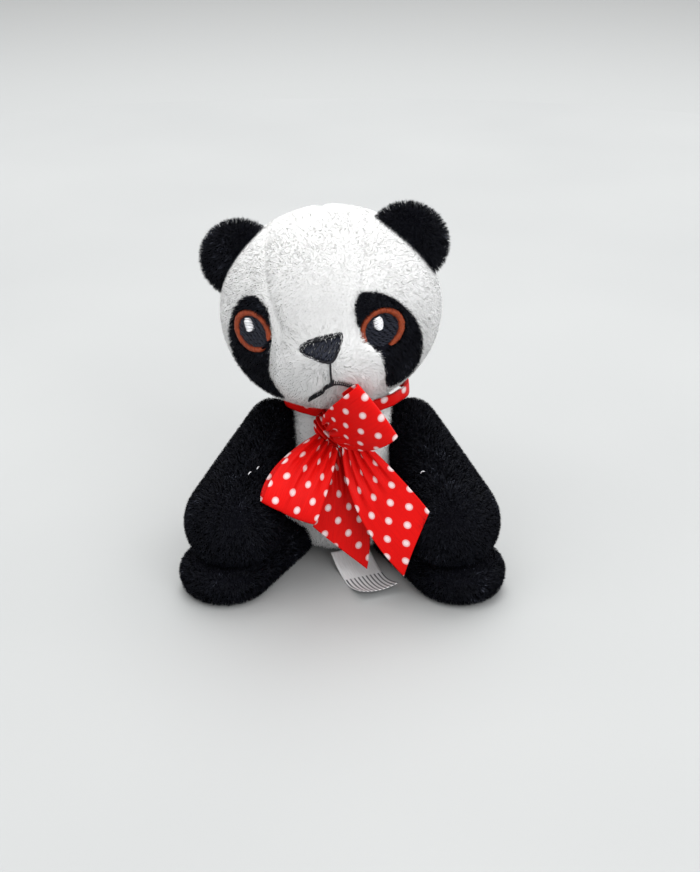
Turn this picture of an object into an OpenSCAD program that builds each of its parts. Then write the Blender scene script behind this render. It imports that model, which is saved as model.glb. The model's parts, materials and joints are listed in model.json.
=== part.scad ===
// Seated plush panda on a key ring chain, with a satin bow at the neck.
// Millimetres. +Z is up and the panda faces -Y.
// The origin is the middle of the flat seat under the torso.

/* [Torso] */
// Largest radius of the torso
torso_r = 22; // [20:0.5:22.5]
// Height of the widest part of the torso
torso_waist_z = 17; // [15:0.5:18]
// Radius of the flat seat under the torso
seat_r = 14; // [12:0.5:15]
// Height of the neck seam at the top of the torso
torso_top_z = 47; // [46.5:0.1:47.2]
// Thickness of the fabric with its pile
cover_t = 1.6; // [1.2:0.1:2]

/* [Head] */
// Radius of the head, seen from above
head_r = 31.5; // [29:0.5:32]
// Half the height of the head
head_half_h = 28.5; // [27:0.5:29]
// Height of the middle of the head
head_z = 76; // [75.5:0.1:77]
// Lean of the head towards one shoulder, in degrees
head_roll = 7.5; // [0:0.5:9]
// Turn of the head towards one side, in degrees
head_yaw = 5; // [0:0.5:10]
// Lift of the face, in degrees
head_lift = 2; // [0:0.5:8]
// Radius of an ear
ear_r = 11.5; // [10:0.5:12]
// Thickness of an ear
ear_t = 5.4; // [4:0.2:6]

/* [Face] */
// Half the width of the muzzle
muzzle_half_w = 16; // [14:0.5:16.5]
// Radius of the muzzle, seen from the side
muzzle_r = 12.5; // [11.5:0.25:12.5]
// Outer radius of an eye ring
eye_ring_r = 6; // [5:0.25:6.25]
// Width of the satin stitch round an eye
eye_ring_w = 1.4; // [1:0.1:1.8]
// Distance between the middle of the face and an eye
eye_x = 17.5; // [17:0.25:18.5]

/* [Limbs] */
// Radius of an arm at the shoulder
shoulder_r = 7.6; // [7:0.2:7.6]
// Radius of a paw
paw_r = 13.6; // [12:0.2:13.6]
// Height of the flat underside of a resting paw
paw_floor_z = 11.3; // [11:0.1:12]
// Radius of a leg at the hip
hip_r = 9; // [8:0.2:9]
// Radius of a foot
foot_r = 13; // [11:0.25:13.5]
// Height of a foot, pressed flat by the paw
foot_h = 10.9; // [9:0.1:10.9]

/* [Ribbon] */
// Width of the ribbon
ribbon_w = 20; // [16:0.5:20]
// Thickness of the ribbon in the bow
ribbon_t = 0.8; // [0.5:0.1:1]
// Radius of the ribbon round the neck
collar_r = 15.6; // [15.5:0.05:15.7]
// Height of the gathered ribbon round the neck
collar_h = 4; // [3.6:0.2:4]

/* [Key ring] */
// Outer radius of the key ring
ring_r = 12.5; // [11:0.5:12.5]
// Thickness of the key ring, its two coils together
ring_t = 2.4; // [2:0.2:2.8]
// Radius of a chain link at the middle of its wire
link_r = 3; // [2.8:0.1:3.2]
// Radius of the wire of a chain link
link_wire_r = 0.75; // [0.6:0.05:0.8]

/* [Hidden] */
$fn = 48;

white = "#f4f1ec";
black = "#1b1b1d";
red = "#e0201c";
brown = "#a8481f";
silver = "#c8c9cc";

// Gap between pieces that move against each other
gap = 0.4;
// Gap between a cover and the filling inside it
fit = 0.05;
// Larger than the whole object, for cutting halves off
big = 120;

// Joints
neck = [0, -1, 49];
neck_ball_r = 7.2;
neck_cup_r = 9.9;
neck_cup_z = 39;
shoulder = [20.5, -4, 37.5];
paw = [31, -34.5, 21.5];
hip = [18, -13, 6];
toe = [34, -35.5, 6];

// Head
head_mid = [-3.3, -6, head_z];
head_floor_z = 51;
ear_seam_y = 4;
gusset_half_w = 9.5;
gusset_z = -8;
ear_mid = [24, 0, 16.5];
muzzle_mid = [1.3, -22, -7];
eye_z = 2;
nape_z = -9;

// Shape of the torso above its waist: the height at which its ellipse would close
torso_taper = 35;

// Rigid placement: x axis along ex, y axis towards ey
function unit(v) = v / norm(v);
module place(o, ex, ey) {
    x = unit(ex);
    z = unit(cross(ex, ey));
    y = cross(z, x);
    multmatrix([[x[0], y[0], z[0], o[0]], [x[1], y[1], z[1], o[1]],
                [x[2], y[2], z[2], o[2]], [0, 0, 0, 1]]) children();
}

// The copy on the other side of the middle plane
module side(s) {
    if (s < 0) mirror([1, 0, 0]) children();
    else children();
}

// Half of space on one side of a plane through the axis: s * x > from, or s * y > from
module half_x(s, from = 0) {
    translate([s > 0 ? from : -from - big, -big / 2, -big / 2]) cube([big, big, big]);
}
module half_y(s, from = 0) {
    translate([-big / 2, s > 0 ? from : from - big, -big / 2]) cube([big, big, big]);
}

// ---------- torso ----------

// Outline of the torso from the seat to the neck, drawn in by d all round
function torso_outline(d) = concat(
    [[0, d]],
    [for (a = [0:18:90])
        [seat_r - d + (torso_r - seat_r) * sin(a), d + (torso_waist_z - d) * (1 - cos(a))]],
    [for (i = [1:7]) let (z = (torso_top_z - d - torso_waist_z) * i / 7)
        [(torso_r - d) * sqrt(1 - pow(z / torso_taper, 2)), torso_waist_z + z]],
    [[0, torso_top_z - d]]);

module torso_solid(d = 0) {
    rotate_extrude() polygon(torso_outline(d));
}

// Room for the neck, the arms and the legs over their whole travel
module torso_room() {
    translate([neck[0], neck[1], neck_cup_z - gap]) cylinder(h = big, r = neck_cup_r + gap);
    for (s = [-1, 1]) side(s) {
        arm_room();
        leg_room();
    }
}

// A blunt cone round the shoulder end of an arm
module arm_room() {
    back = shoulder_r + gap;
    along(shoulder, paw) translate([0, 0, -back])
        cylinder(h = back + norm(paw - shoulder), r1 = shoulder_r + 1.5 * gap, r2 = paw_r + 2 * gap);
}

// The floor space that a leg sweeps as it turns about its hip
leg_in = 6;
leg_out = 12;
module leg_room() {
    len = 20;
    flare = len * (foot_r - hip_r) / norm(toe - hip);
    wall = hip_r + 1.5 * gap;
    translate([hip[0], hip[1], -1]) {
        cylinder(h = foot_h + gap + 1, r = hip_r + 3 * gap);
        rotate(atan2(toe[1] - hip[1], toe[0] - hip[0])) linear_extrude(foot_h + gap + 1)
            polygon([[0, -wall], [len, -wall - flare - len * tan(leg_in)],
                     [len, wall + flare + len * tan(leg_out)], [0, wall]]);
    }
}

module torso_cover(s) {
    color(white) difference() {
        intersection() {
            torso_solid();
            half_y(s, s * 0.02);
        }
        torso_solid(cover_t);
        torso_room();
    }
}

module torso_stuffing() {
    color("ivory") difference() {
        torso_solid(cover_t + fit);
        torso_room();
        pouch_solid(-fit);
    }
}

// A flattened bag of pellets at the bottom of the torso
pouch_r = 9;
pouch_h = 7;
module pouch_solid(d = 0) {
    translate([0, 3, cover_t + 1]) rotate_extrude() polygon([
        [0, d], for (a = [-90:18:90])
            [pouch_r - pouch_h / 2 + (pouch_h / 2 - d) * cos(a), pouch_h / 2 + (pouch_h / 2 - d) * sin(a)],
        [0, pouch_h - d]]);
}

module pellet_pouch() {
    color("wheat") pouch_solid();
}

// ---------- care label ----------

label_w = 12;
label_t = 0.5;
label_len = 23;
label_root = [2, -19.8, 3.2];
label_turn = 22;
// Height of the label along its length: it drops to the floor and curls up again
function label_rise(u) = 2.9 * pow(2 * u - 1.1, 2) - 2.9 * 1.21;
module care_label() {
    steps = 8;
    color(white) translate(label_root) rotate([0, 0, label_turn]) rotate([90, 0, -90])
        translate([0, 0, -label_w / 2]) linear_extrude(label_w) polygon(concat(
            [for (i = [0:steps]) [label_len * i / steps, label_rise(i / steps)]],
            [for (i = [steps:-1:0]) [label_len * i / steps, label_rise(i / steps) + label_t]]));
}

// ---------- ribbon ----------

collar_mid = [0, 0, 46.7];
collar_roll = 4;
knot_mid = [-3, -20.8, 44.5];
knot_r = 4.9;
knot_l = 7.5;

module neck_ribbon() {
    color(red) translate(collar_mid) rotate([0, -collar_roll, 0]) rotate_extrude()
        translate([collar_r - ribbon_t, -collar_h / 2]) square([ribbon_t, collar_h]);
}

// The wrapped knot, a short barrel that lies across the bow
module bow_knot() {
    color(red) translate(knot_mid) rotate([0, 45, 0]) translate([0, 0, -knot_l / 2])
        rotate_extrude() polygon([[0, 0], for (i = [0:6])
            [knot_r - 1.6 * pow(i / 3 - 1, 2), knot_l * i / 6], [0, knot_l]]);
}

// A loop of ribbon from the knot to the fold between two corners
loop_puff = 4.6;
function loop_edge(len, d) = [for (a = [0:20:340])
    [len * (1 - cos(a)) / 2 - d * cos(a), (loop_puff / 2 + d) * sin(a) * (1 - 0.25 * cos(a))]];
module bow_loop(root, corner_a, corner_b) {
    fold = (corner_a + corner_b) / 2;
    w = norm(corner_b - corner_a);
    len = norm(fold - root);
    // local x runs from the knot to the fold, z across the ribbon
    color(red) place(root, fold - root, cross(corner_b - corner_a, fold - root)) intersection() {
        translate([0, 0, -w / 2]) linear_extrude(w) difference() {
            polygon(loop_edge(len, 0));
            polygon(loop_edge(len, -ribbon_t));
        }
        // gathered at the knot, full width at the fold
        rotate([90, 0, 0]) linear_extrude(4 * loop_puff, center = true)
            polygon([[-1, -3], [0.7 * len, -w / 2], [len + 1, -w / 2], [len + 1, w / 2],
                     [0.7 * len, w / 2], [-1, 3]]);
    }
}

module bow_loop_left() {
    bow_loop([-6.2, -26.8, 42.4], [-22.9, -43.5, 34.3], [-8.5, -42, 24.9]);
}
module bow_loop_right() {
    bow_loop([0.8, -31.4, 45], [4.9, -49, 69.6], [16, -46, 55.8]);
}

// A flat tail of ribbon from the knot to its cut end
module ribbon_tail(root, corner_a, corner_b) {
    end = (corner_a + corner_b) / 2;
    w = norm(corner_b - corner_a);
    len = norm(end - root);
    slant = (corner_b - corner_a) * unit(end - root) / 2;
    color(red) place(root, end - root, corner_a - corner_b) linear_extrude(ribbon_t)
        polygon([[0, -2.5], [len + slant, -w / 2], [len - slant, w / 2], [0, 2.5]]);
}

module ribbon_tail_right() {
    ribbon_tail([0.5, -26.6, 41.5], [24.6, -44.5, 32.5], [17.4, -46, 12]);
}
module ribbon_tail_left() {
    ribbon_tail([-2.8, -23.8, 38], [7, -33, 8], [-8.4, -30.4, 20.4]);
}

// ---------- neck ----------

// The lower wad of filling holds the upper one like a cup, so that the head can turn
module neck_stuffing_lower() {
    color("ivory") difference() {
        translate([neck[0], neck[1], neck_cup_z]) cylinder(h = 8.4, r = neck_cup_r);
        translate(neck) sphere(neck_ball_r + gap);
    }
}

module neck_stuffing_upper() {
    color("ivory") translate(neck) sphere(neck_ball_r);
}

// ---------- head ----------

module on_head() {
    translate(head_mid) rotate([-head_lift, -head_roll, -head_yaw]) children();
}

module head_solid(d = 0) {
    rotate_extrude() polygon([for (a = [-90:9:90])
        [(head_r - d) * cos(a), (head_half_h - d) * sin(a)]]);
}

// Everything below the neck opening
module below_head(z) {
    translate([-big / 2, -big / 2, z - big]) cube([big, big, big]);
}

module head_panel(z_floor = head_floor_z) {
    color(white) difference() {
        on_head() difference() {
            intersection() {
                head_solid();
                children();
            }
            head_solid(cover_t);
        }
        below_head(z_floor);
    }
}

module gusset_block() {
    translate([-gusset_half_w, -big, gusset_z]) cube([2 * gusset_half_w, big + ear_seam_y, big]);
}

module head_gusset() {
    head_panel() gusset_block();
}
module head_side(s) {
    head_panel() difference() {
        intersection() {
            half_x(s, 0.02);
            half_y(-1, ear_seam_y);
        }
        gusset_block();
    }
}
module head_back(s) {
    difference() {
        head_panel() intersection() {
            half_x(s, 0.02);
            half_y(1, ear_seam_y + 0.02);
        }
        translate(neck) sphere(neck_ball_r + gap);
    }
}

module head_stuffing() {
    color("ivory") difference() {
        on_head() head_solid(cover_t + fit);
        below_head(head_floor_z);
        translate(neck) sphere(neck_ball_r + gap);
    }
}

// An ear is half a padded disc, in two layers
module ear(s, layer) {
    t = ear_t / 2;
    color(black) on_head() difference() {
        translate([s * ear_mid[0], ear_mid[1], ear_mid[2]]) rotate([layer * -90, 0, 0])
            translate([0, 0, 0.02]) rotate_extrude() polygon([[0, 0], for (a = [0:15:90])
                [ear_r - t + t * cos(a), t * sin(a)], [0, t]]);
        head_solid(-0.02);
    }
}

// ---------- face ----------

module muzzle_solid(d = 0) {
    translate(muzzle_mid) rotate([0, 90, 0]) rotate_extrude() polygon([for (a = [-90:10:90])
        [(muzzle_r - d) * cos(a), (muzzle_half_w - d) * sin(a)]]);
}

module muzzle() {
    color(white) on_head() difference() {
        muzzle_solid();
        head_solid(-0.02);
    }
}

// A drawing on the front of the head, in x and z, cut out of a layer of the face
module drawn() {
    rotate([90, 0, 0]) linear_extrude(big / 2) children();
}
module on_face(inner, outer) {
    on_head() difference() {
        intersection() {
            head_solid(-outer);
            drawn() children();
        }
        head_solid(-inner);
        muzzle_solid(-fit);
    }
}
module on_muzzle(inner, outer) {
    on_head() difference() {
        intersection() {
            muzzle_solid(-outer);
            drawn() children();
        }
        muzzle_solid(-inner);
        head_solid(-fit);
    }
}

// Slanted oval of an eye patch, narrower at the top
patch_mid = [19, -2.5];
patch_half = [7.6, 14.5];
patch_slant = 7;
module patch_outline() {
    translate(patch_mid) rotate(patch_slant) polygon([for (a = [0:18:342])
        [patch_half[0] * cos(a) * (1 - 0.12 * sin(a)), patch_half[1] * sin(a)]]);
}

module eye_patch(s) {
    color(black) on_face(0.02, 1) side2d(s) patch_outline();
}
module side2d(s) {
    scale([s, 1]) children();
}

module eye_ring(s) {
    color(brown) on_face(1.05, 1.7) side2d(s) translate([eye_x, eye_z]) difference() {
        circle(eye_ring_r);
        circle(eye_ring_r - eye_ring_w);
    }
}

module iris(s) {
    color("#20222c") on_face(1.05, 1.5) side2d(s) translate([eye_x, eye_z])
        circle(eye_ring_r - eye_ring_w - fit);
}

// Both highlights lie on the same side of their eye
module eye_highlight(s) {
    color("white") on_face(1.55, 2) translate([s * eye_x - 0.8, eye_z + 1.8]) circle(1.7);
}

// Rounded triangle of the nose: three corners, each an arc
nose_corners = [[-5, 2], [5, 2], [0, -2.9]];
nose_corner_r = 1.3;
nose_mid = [1.2, -1.9];
module nose() {
    color("#15161c") on_muzzle(0.05, 1.2) translate(nose_mid) rotate(7)
        polygon([for (i = [0:2]) for (a = [-60:30:60])
            let (mid = [180 - 35, 35, -90][i])
            nose_corners[i] + nose_corner_r * [cos(mid - a), sin(mid - a)]]);
}

// The line under the nose and its two arms
mouth_w = 0.9;
mouth_mid = [1.7, -10.6];
module mouth_stitch() {
    color("#15161c") on_muzzle(0.05, 0.8) union() {
        translate([mouth_mid[0] - mouth_w / 2, mouth_mid[1]]) square([mouth_w, 4.3]);
        for (arm = [[-20, 6.2], [215, 7.6]]) translate(mouth_mid) rotate(arm[0])
            translate([0, -mouth_w / 2]) square([arm[1], mouth_w]);
    }
}

// ---------- arms and legs ----------

// Outline of a limb about its axis: a ball at each end and a cone between, drawn in by d
function limb_outline(len, ra, rb, d) = let (a = asin((ra - rb) / len)) concat(
    [for (i = [0:5]) let (t = -90 + (a + 90) * i / 5) [(ra - d) * cos(t), (ra - d) * sin(t)]],
    [for (i = [0:7]) let (t = a + (90 - a) * i / 7) [(rb - d) * cos(t), len + (rb - d) * sin(t)]]);

// Children that stand on z = 0 are moved to one point and turned towards the other
module along(from, to) {
    v = to - from;
    translate(from) rotate([0, acos(v[2] / norm(v)), atan2(v[1], v[0])]) children();
}

module limb(from, to, ra, rb, d) {
    along(from, to) rotate_extrude() polygon(limb_outline(norm(to - from), ra, rb, d));
}

module arm_solid(d = 0) {
    difference() {
        limb(shoulder, paw, shoulder_r, paw_r, d);
        translate([-big / 2, -big / 2, paw_floor_z + d - big]) cube([big, big, big]);
    }
}

module leg_solid(d = 0) {
    intersection() {
        limb(hip, toe, hip_r, foot_r, d);
        translate([-big / 2, -big / 2, d]) cube([big, big, foot_h - 2 * d]);
    }
}

module arm_cover(s) {
    color(black) side(s) difference() {
        arm_solid();
        arm_solid(cover_t);
    }
}
module arm_stuffing(s) {
    color("ivory") side(s) arm_solid(cover_t + fit);
}
module leg_cover(s) {
    color(black) side(s) difference() {
        leg_solid();
        leg_solid(cover_t);
    }
}
module leg_stuffing(s) {
    color("ivory") side(s) leg_solid(cover_t + fit);
}

// ---------- key ring ----------

// The cord loop is sewn into the back seam of the head and stands out level
loop_y = 30;
loop_z = 65.5;
loop_r = 2.6;
loop_cord_r = 0.7;
module nape_loop() {
    stem = 8;
    color(red) difference() {
        translate([0, loop_y, loop_z]) union() {
            rotate([0, 90, 0]) rotate_extrude() translate([loop_r, 0]) circle(loop_cord_r, $fn = 24);
            translate([-loop_cord_r, -loop_r - stem, -2 * loop_cord_r])
                cube([2 * loop_cord_r, stem, 4 * loop_cord_r]);
        }
        on_head() head_solid(-0.02);
    }
}

// Links hang inside each other, wire against wire
link_play = 0.12;
link_pitch = 2 * link_r - 2 * link_wire_r - link_play;
link_1_z = loop_z - loop_r + loop_cord_r + link_wire_r + link_play - link_r;
ring_wall = 1.5;

module chain_link(i) {
    z = link_1_z - (i - 1) * link_pitch;
    color(silver) translate([0, loop_y, z]) rotate(i % 2 == 1 ? [90, 0, 0] : [0, 90, 0])
        rotate_extrude() translate([link_r, 0]) circle(link_wire_r, $fn = 24);
}

link_4_z = link_1_z - 3 * link_pitch;
ring_sit = sqrt(pow(link_r - link_wire_r, 2) - pow(ring_t / 2, 2));
ring_z = link_4_z - ring_sit + 1.5 * link_play + ring_wall - ring_r;
module split_ring() {
    color(silver) translate([0, loop_y, ring_z]) rotate([90, 0, 0]) rotate_extrude()
        translate([ring_r - ring_wall, -ring_t / 2]) square([ring_wall, ring_t]);
}

torso_cover(-1);  // torso_cover_front
torso_cover(1);  // torso_cover_back
torso_stuffing();
pellet_pouch();
care_label();
neck_ribbon();
bow_knot();
bow_loop_left();
bow_loop_right();
ribbon_tail_left();
ribbon_tail_right();
neck_stuffing_lower();
neck_stuffing_upper();
head_gusset();
head_side(-1);  // head_side_left
head_side(1);  // head_side_right
head_back(-1);  // head_back_left
head_back(1);  // head_back_right
muzzle();
head_stuffing();
ear(-1, -1);  // ear_left_front
ear(-1, 1);  // ear_left_back
ear(1, -1);  // ear_right_front
ear(1, 1);  // ear_right_back
eye_patch(-1);  // eye_patch_left
eye_patch(1);  // eye_patch_right
eye_ring(-1);  // eye_ring_left
eye_ring(1);  // eye_ring_right
iris(-1);  // iris_left
iris(1);  // iris_right
eye_highlight(-1);  // eye_highlight_left
eye_highlight(1);  // eye_highlight_right
nose();
mouth_stitch();
arm_cover(-1);  // arm_cover_left
arm_cover(1);  // arm_cover_right
arm_stuffing(-1);  // arm_stuffing_left
arm_stuffing(1);  // arm_stuffing_right
leg_cover(-1);  // leg_cover_left
leg_cover(1);  // leg_cover_right
leg_stuffing(-1);  // leg_stuffing_left
leg_stuffing(1);  // leg_stuffing_right
nape_loop();
chain_link(1);  // chain_link_1
chain_link(2);  // chain_link_2
chain_link(3);  // chain_link_3
chain_link(4);  // chain_link_4
split_ring();
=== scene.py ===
"""Looks of the seated plush panda key ring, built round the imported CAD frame."""

import json
import math

import bmesh
import bpy
import numpy as np
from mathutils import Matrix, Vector
from mathutils.bvhtree import BVHTree


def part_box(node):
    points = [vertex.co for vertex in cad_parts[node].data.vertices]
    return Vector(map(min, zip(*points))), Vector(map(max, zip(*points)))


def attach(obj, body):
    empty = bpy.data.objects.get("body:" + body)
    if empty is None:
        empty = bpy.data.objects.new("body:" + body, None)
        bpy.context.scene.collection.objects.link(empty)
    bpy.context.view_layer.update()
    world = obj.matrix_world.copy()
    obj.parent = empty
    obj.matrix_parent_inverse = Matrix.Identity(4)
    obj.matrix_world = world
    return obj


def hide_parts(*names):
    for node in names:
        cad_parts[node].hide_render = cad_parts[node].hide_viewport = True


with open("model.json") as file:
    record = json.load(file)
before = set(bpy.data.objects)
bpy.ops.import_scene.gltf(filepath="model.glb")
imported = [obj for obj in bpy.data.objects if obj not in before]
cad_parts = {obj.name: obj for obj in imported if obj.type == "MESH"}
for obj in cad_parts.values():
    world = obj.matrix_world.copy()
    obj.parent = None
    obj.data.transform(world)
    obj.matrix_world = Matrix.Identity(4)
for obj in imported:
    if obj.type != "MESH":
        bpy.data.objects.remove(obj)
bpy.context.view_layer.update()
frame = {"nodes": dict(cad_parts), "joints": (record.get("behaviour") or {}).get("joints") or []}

MM = 0.001
JOINT = {j["name"]: j for j in frame["joints"]}
rng = np.random.default_rng(11)


def vec(*v):
    return np.array(v, float)


def unit(v):
    v = np.asarray(v, float)
    return v / np.maximum(np.linalg.norm(v, axis=-1, keepdims=True), 1e-9)


def node_box(*nodes):
    """Lowest and highest corner of several CAD nodes together, in mm."""
    boxes = [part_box(n) for n in nodes]
    lo = np.min([np.array(b[0]) for b in boxes], axis=0) / MM
    hi = np.max([np.array(b[1]) for b in boxes], axis=0) / MM
    return lo, hi


def joint_point(name):
    return vec(*JOINT[name]["pos_m"]) / MM


def smoothstep(x, a, b):
    t = np.clip((np.asarray(x, float) - a) / (b - a), 0, 1)
    return t * t * (3 - 2 * t)


WAVES = unit(rng.normal(size=(3, 7, 3)))
PHASES = rng.uniform(0, 2 * math.pi, (3, 7))


def wobble(p, size, channel=0):
    """Smooth noise from -1 to 1 with bumps about size mm across."""
    k = WAVES[channel] * (2 * math.pi / size) * np.linspace(0.7, 1.5, 7)[:, None]
    return np.sin(p @ k.T + PHASES[channel]).mean(1) * 1.9


def drift(p, size):
    """The same noise as a direction."""
    return np.stack([wobble(p, size, k) for k in range(3)], 1)


def run_length(p):
    """How far each point of a line lies along it."""
    return np.concatenate([[0], np.cumsum(np.linalg.norm(np.diff(p, axis=0), axis=1))])


# ---------- meshes ----------

def add_mesh(name, co, faces, body, uv=None, materials=(), index=None, normals=None):
    """A piece from points in mm and one or more arrays of faces. It rides on a body."""
    faces = faces if isinstance(faces, list) else [faces]
    faces = [np.asarray(f, np.int32) for f in faces if len(f)]
    me = bpy.data.meshes.new(name)
    me.vertices.add(len(co))
    me.vertices.foreach_set("co", (np.asarray(co) * MM).astype(np.float32).ravel())
    flat = np.concatenate([f.ravel() for f in faces])
    me.loops.add(len(flat))
    me.loops.foreach_set("vertex_index", flat)
    sizes = np.concatenate([np.full(len(f), f.shape[1], np.int32) for f in faces])
    me.polygons.add(len(sizes))
    me.polygons.foreach_set("loop_start", np.concatenate([[0], np.cumsum(sizes)[:-1]]).astype(np.int32))
    me.polygons.foreach_set("use_smooth", np.ones(len(sizes), bool))
    for m in materials:
        me.materials.append(m)
    if index is not None:
        me.polygons.foreach_set("material_index", index.astype(np.int32))
    me.update(calc_edges=True)
    if uv is not None:
        layer = me.uv_layers.new(name="ribbon")
        layer.data.foreach_set("uv", np.asarray(uv, np.float32)[flat].ravel())
    if normals is not None:
        me.normals_split_custom_set_from_vertices(normals.astype(np.float32))
    ob = bpy.data.objects.new(name, me)
    bpy.context.scene.collection.objects.link(ob)
    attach(ob, body)
    return ob


def vertex_normals(co, faces):
    a, b = co[faces[:, 2]] - co[faces[:, 0]], co[faces[:, -1]] - co[faces[:, 1]]
    n = np.cross(a, b)
    out = np.zeros_like(co)
    for k in range(faces.shape[1]):
        np.add.at(out, faces[:, k], n)
    return unit(out)


def border(faces):
    """Directed edges that only one face has."""
    e = np.concatenate([np.stack([faces[:, k], faces[:, (k + 1) % faces.shape[1]]], 1)
                        for k in range(faces.shape[1])])
    key = e[:, 0].astype(np.int64) << 32 | e[:, 1]
    back = e[:, 1].astype(np.int64) << 32 | e[:, 0]
    return e[~np.isin(key, back)]


def with_thickness(co, faces, normals, t):
    """A skin as a thin closed shell, with its inner side t mm in."""
    n = len(co)
    rim = border(faces)
    rim = np.stack([rim[:, 1], rim[:, 0], rim[:, 0] + n, rim[:, 1] + n], 1)
    return np.concatenate([co, co - normals * t]), [faces, faces[:, ::-1] + n, rim]


def grid_faces(rows, cols, wrap_rows=False, wrap_cols=False):
    i, j = np.meshgrid(np.arange(rows if wrap_rows else rows - 1),
                       np.arange(cols if wrap_cols else cols - 1), indexing="ij")
    i2, j2 = (i + 1) % rows, (j + 1) % cols
    return np.stack([i * cols + j, i * cols + j2, i2 * cols + j2, i2 * cols + j], -1).reshape(-1, 4)


def tubes(paths, radius, up, sides=6, flat=1.0):
    """Closed round strands along paths of shape (n, k, 3). up is the side that flattens."""
    n, k, _ = paths.shape
    tangent = unit(np.gradient(paths, axis=1))
    side = unit(np.cross(tangent, up))
    top = np.cross(side, tangent)
    radius = np.broadcast_to(radius, (n, k))[..., None, None]
    a = np.arange(sides) * 2 * math.pi / sides
    ring = side[:, :, None] * np.cos(a)[:, None] + top[:, :, None] * np.sin(a)[:, None] * flat
    co = (paths[:, :, None] + ring * radius).reshape(-1, 3)
    one = grid_faces(k, sides, wrap_cols=True)
    quads = (one[None] + (np.arange(n) * k * sides)[:, None, None]).reshape(-1, 4)
    start = np.arange(n) * k * sides
    caps = np.concatenate([start[:, None] + np.arange(sides)[::-1],
                           start[:, None] + (k - 1) * sides + np.arange(sides)])
    return co, [quads, caps]


def lathe(outline, steps=64):
    """Points (radius, z) turned about z, the first and last on the axis."""
    a = np.arange(steps) * 2 * math.pi / steps
    mid = np.asarray(outline[1:-1])
    co = np.stack([mid[:, :1] * np.cos(a), mid[:, :1] * np.sin(a),
                   np.repeat(mid[:, 1:], steps, 1)], -1).reshape(-1, 3)
    co = np.concatenate([co, [[0, 0, outline[0][1]], [0, 0, outline[-1][1]]]])
    quads = grid_faces(len(mid), steps, wrap_cols=True)
    k, last = np.arange(steps), (len(mid) - 1) * steps
    low = np.stack([np.full(steps, len(co) - 2), (k + 1) % steps, k], 1)
    high = np.stack([np.full(steps, len(co) - 1), last + k, last + (k + 1) % steps], 1)
    return co, [quads, low, high]


# ---------- stuffed covers ----------

SWELL_SCALE = 0.02  # metres of simulation for each mm, so that cloth behaves as on a large cushion
SWELL_FRAMES = 20


def read_mesh(ob):
    ev = ob.evaluated_get(bpy.context.evaluated_depsgraph_get())
    me = bpy.data.meshes.new_from_object(ev)
    return me


def mesh_points(me):
    co = np.zeros(len(me.vertices) * 3, np.float32)
    me.vertices.foreach_get("co", co)
    return co.reshape(-1, 3).astype(float)


def mesh_quads(me):
    out = np.zeros(len(me.loops), np.int32)
    me.loops.foreach_get("vertex_index", out)
    return out.reshape(-1, 4)


def swell(co, faces, voxel, pinned, pressure=4.0, cap=1.0):
    """Cloth pressure in a closed cover pinned at its seams. Points in mm, faces come back as quads."""
    me = bpy.data.meshes.new("swell")
    me.from_pydata((co * SWELL_SCALE).tolist(), [], [f for part in faces for f in part.tolist()])
    ob = bpy.data.objects.new("swell", me)
    scene = bpy.context.scene
    scene.collection.objects.link(ob)
    if voxel:
        m = ob.modifiers.new("remesh", "REMESH")
        m.mode, m.voxel_size, m.use_smooth_shade = "VOXEL", voxel * SWELL_SCALE, True
        fresh = read_mesh(ob)
        ob.modifiers.clear()
        ob.data = fresh
    before = mesh_points(ob.data)
    group = ob.vertex_groups.new(name="seams")
    weight = pinned(before / SWELL_SCALE)
    for w in np.unique(np.round(weight, 1)):
        if w > 0:
            group.add(np.nonzero(np.round(weight, 1) == w)[0].tolist(), float(w), "REPLACE")
    cloth = ob.modifiers.new("cloth", "CLOTH")
    s = cloth.settings
    s.quality, s.mass = 5, 0.3
    s.tension_stiffness = s.compression_stiffness = 15
    s.bending_stiffness = 0.5
    s.use_pressure, s.uniform_pressure_force = True, pressure
    s.effector_weights.gravity = 0
    s.vertex_group_mass = "seams"
    cloth.point_cache.frame_start, cloth.point_cache.frame_end = 1, SWELL_FRAMES
    for f in range(1, SWELL_FRAMES + 1):
        scene.frame_set(f)
    after = mesh_points(read_mesh(ob))
    ob.modifiers.clear()
    scene.frame_set(1)
    step = after - before
    far = np.linalg.norm(step, axis=1, keepdims=True)
    step *= np.minimum(1, cap * SWELL_SCALE / np.maximum(far, 1e-9))
    ob.data.vertices.foreach_set("co", (before + step).astype(np.float32).ravel())
    ob.data.update()
    ob.modifiers.new("subdivide", "SUBSURF").levels = 1
    final = read_mesh(ob)
    out = mesh_points(final) / SWELL_SCALE, mesh_quads(final)
    bpy.data.objects.remove(ob)
    return out


def crease(co, faces, distance, depth, width):
    """Pulls a cover in along its seams. distance is how far each point is from a seam, in mm."""
    n = vertex_normals(co, faces)
    return co - n * (depth * np.exp(-(distance / width) ** 2))[:, None]


def even_edges(co, faces, labels, rounds=6):
    """Straightens the lines between panels by evening out the points on them."""
    e = np.concatenate([np.stack([faces[:, k], faces[:, (k + 1) % 4]], 1) for k in range(4)])
    owner = np.tile(labels, 4)
    key = np.minimum(e[:, 0], e[:, 1]).astype(np.int64) << 32 | np.maximum(e[:, 0], e[:, 1])
    order = np.argsort(key, kind="stable")
    key, owner, e = key[order], owner[order], e[order]
    same = (key[1:] == key[:-1]) & (owner[1:] != owner[:-1])
    line = e[1:][same]
    count = np.bincount(line.ravel(), minlength=len(co))
    move = count == 2
    for _ in range(rounds):
        total = np.zeros_like(co)
        np.add.at(total, line[:, 0], co[line[:, 1]])
        np.add.at(total, line[:, 1], co[line[:, 0]])
        co = np.where(move[:, None], 0.4 * co + 0.3 * total, co)
    return co


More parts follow.
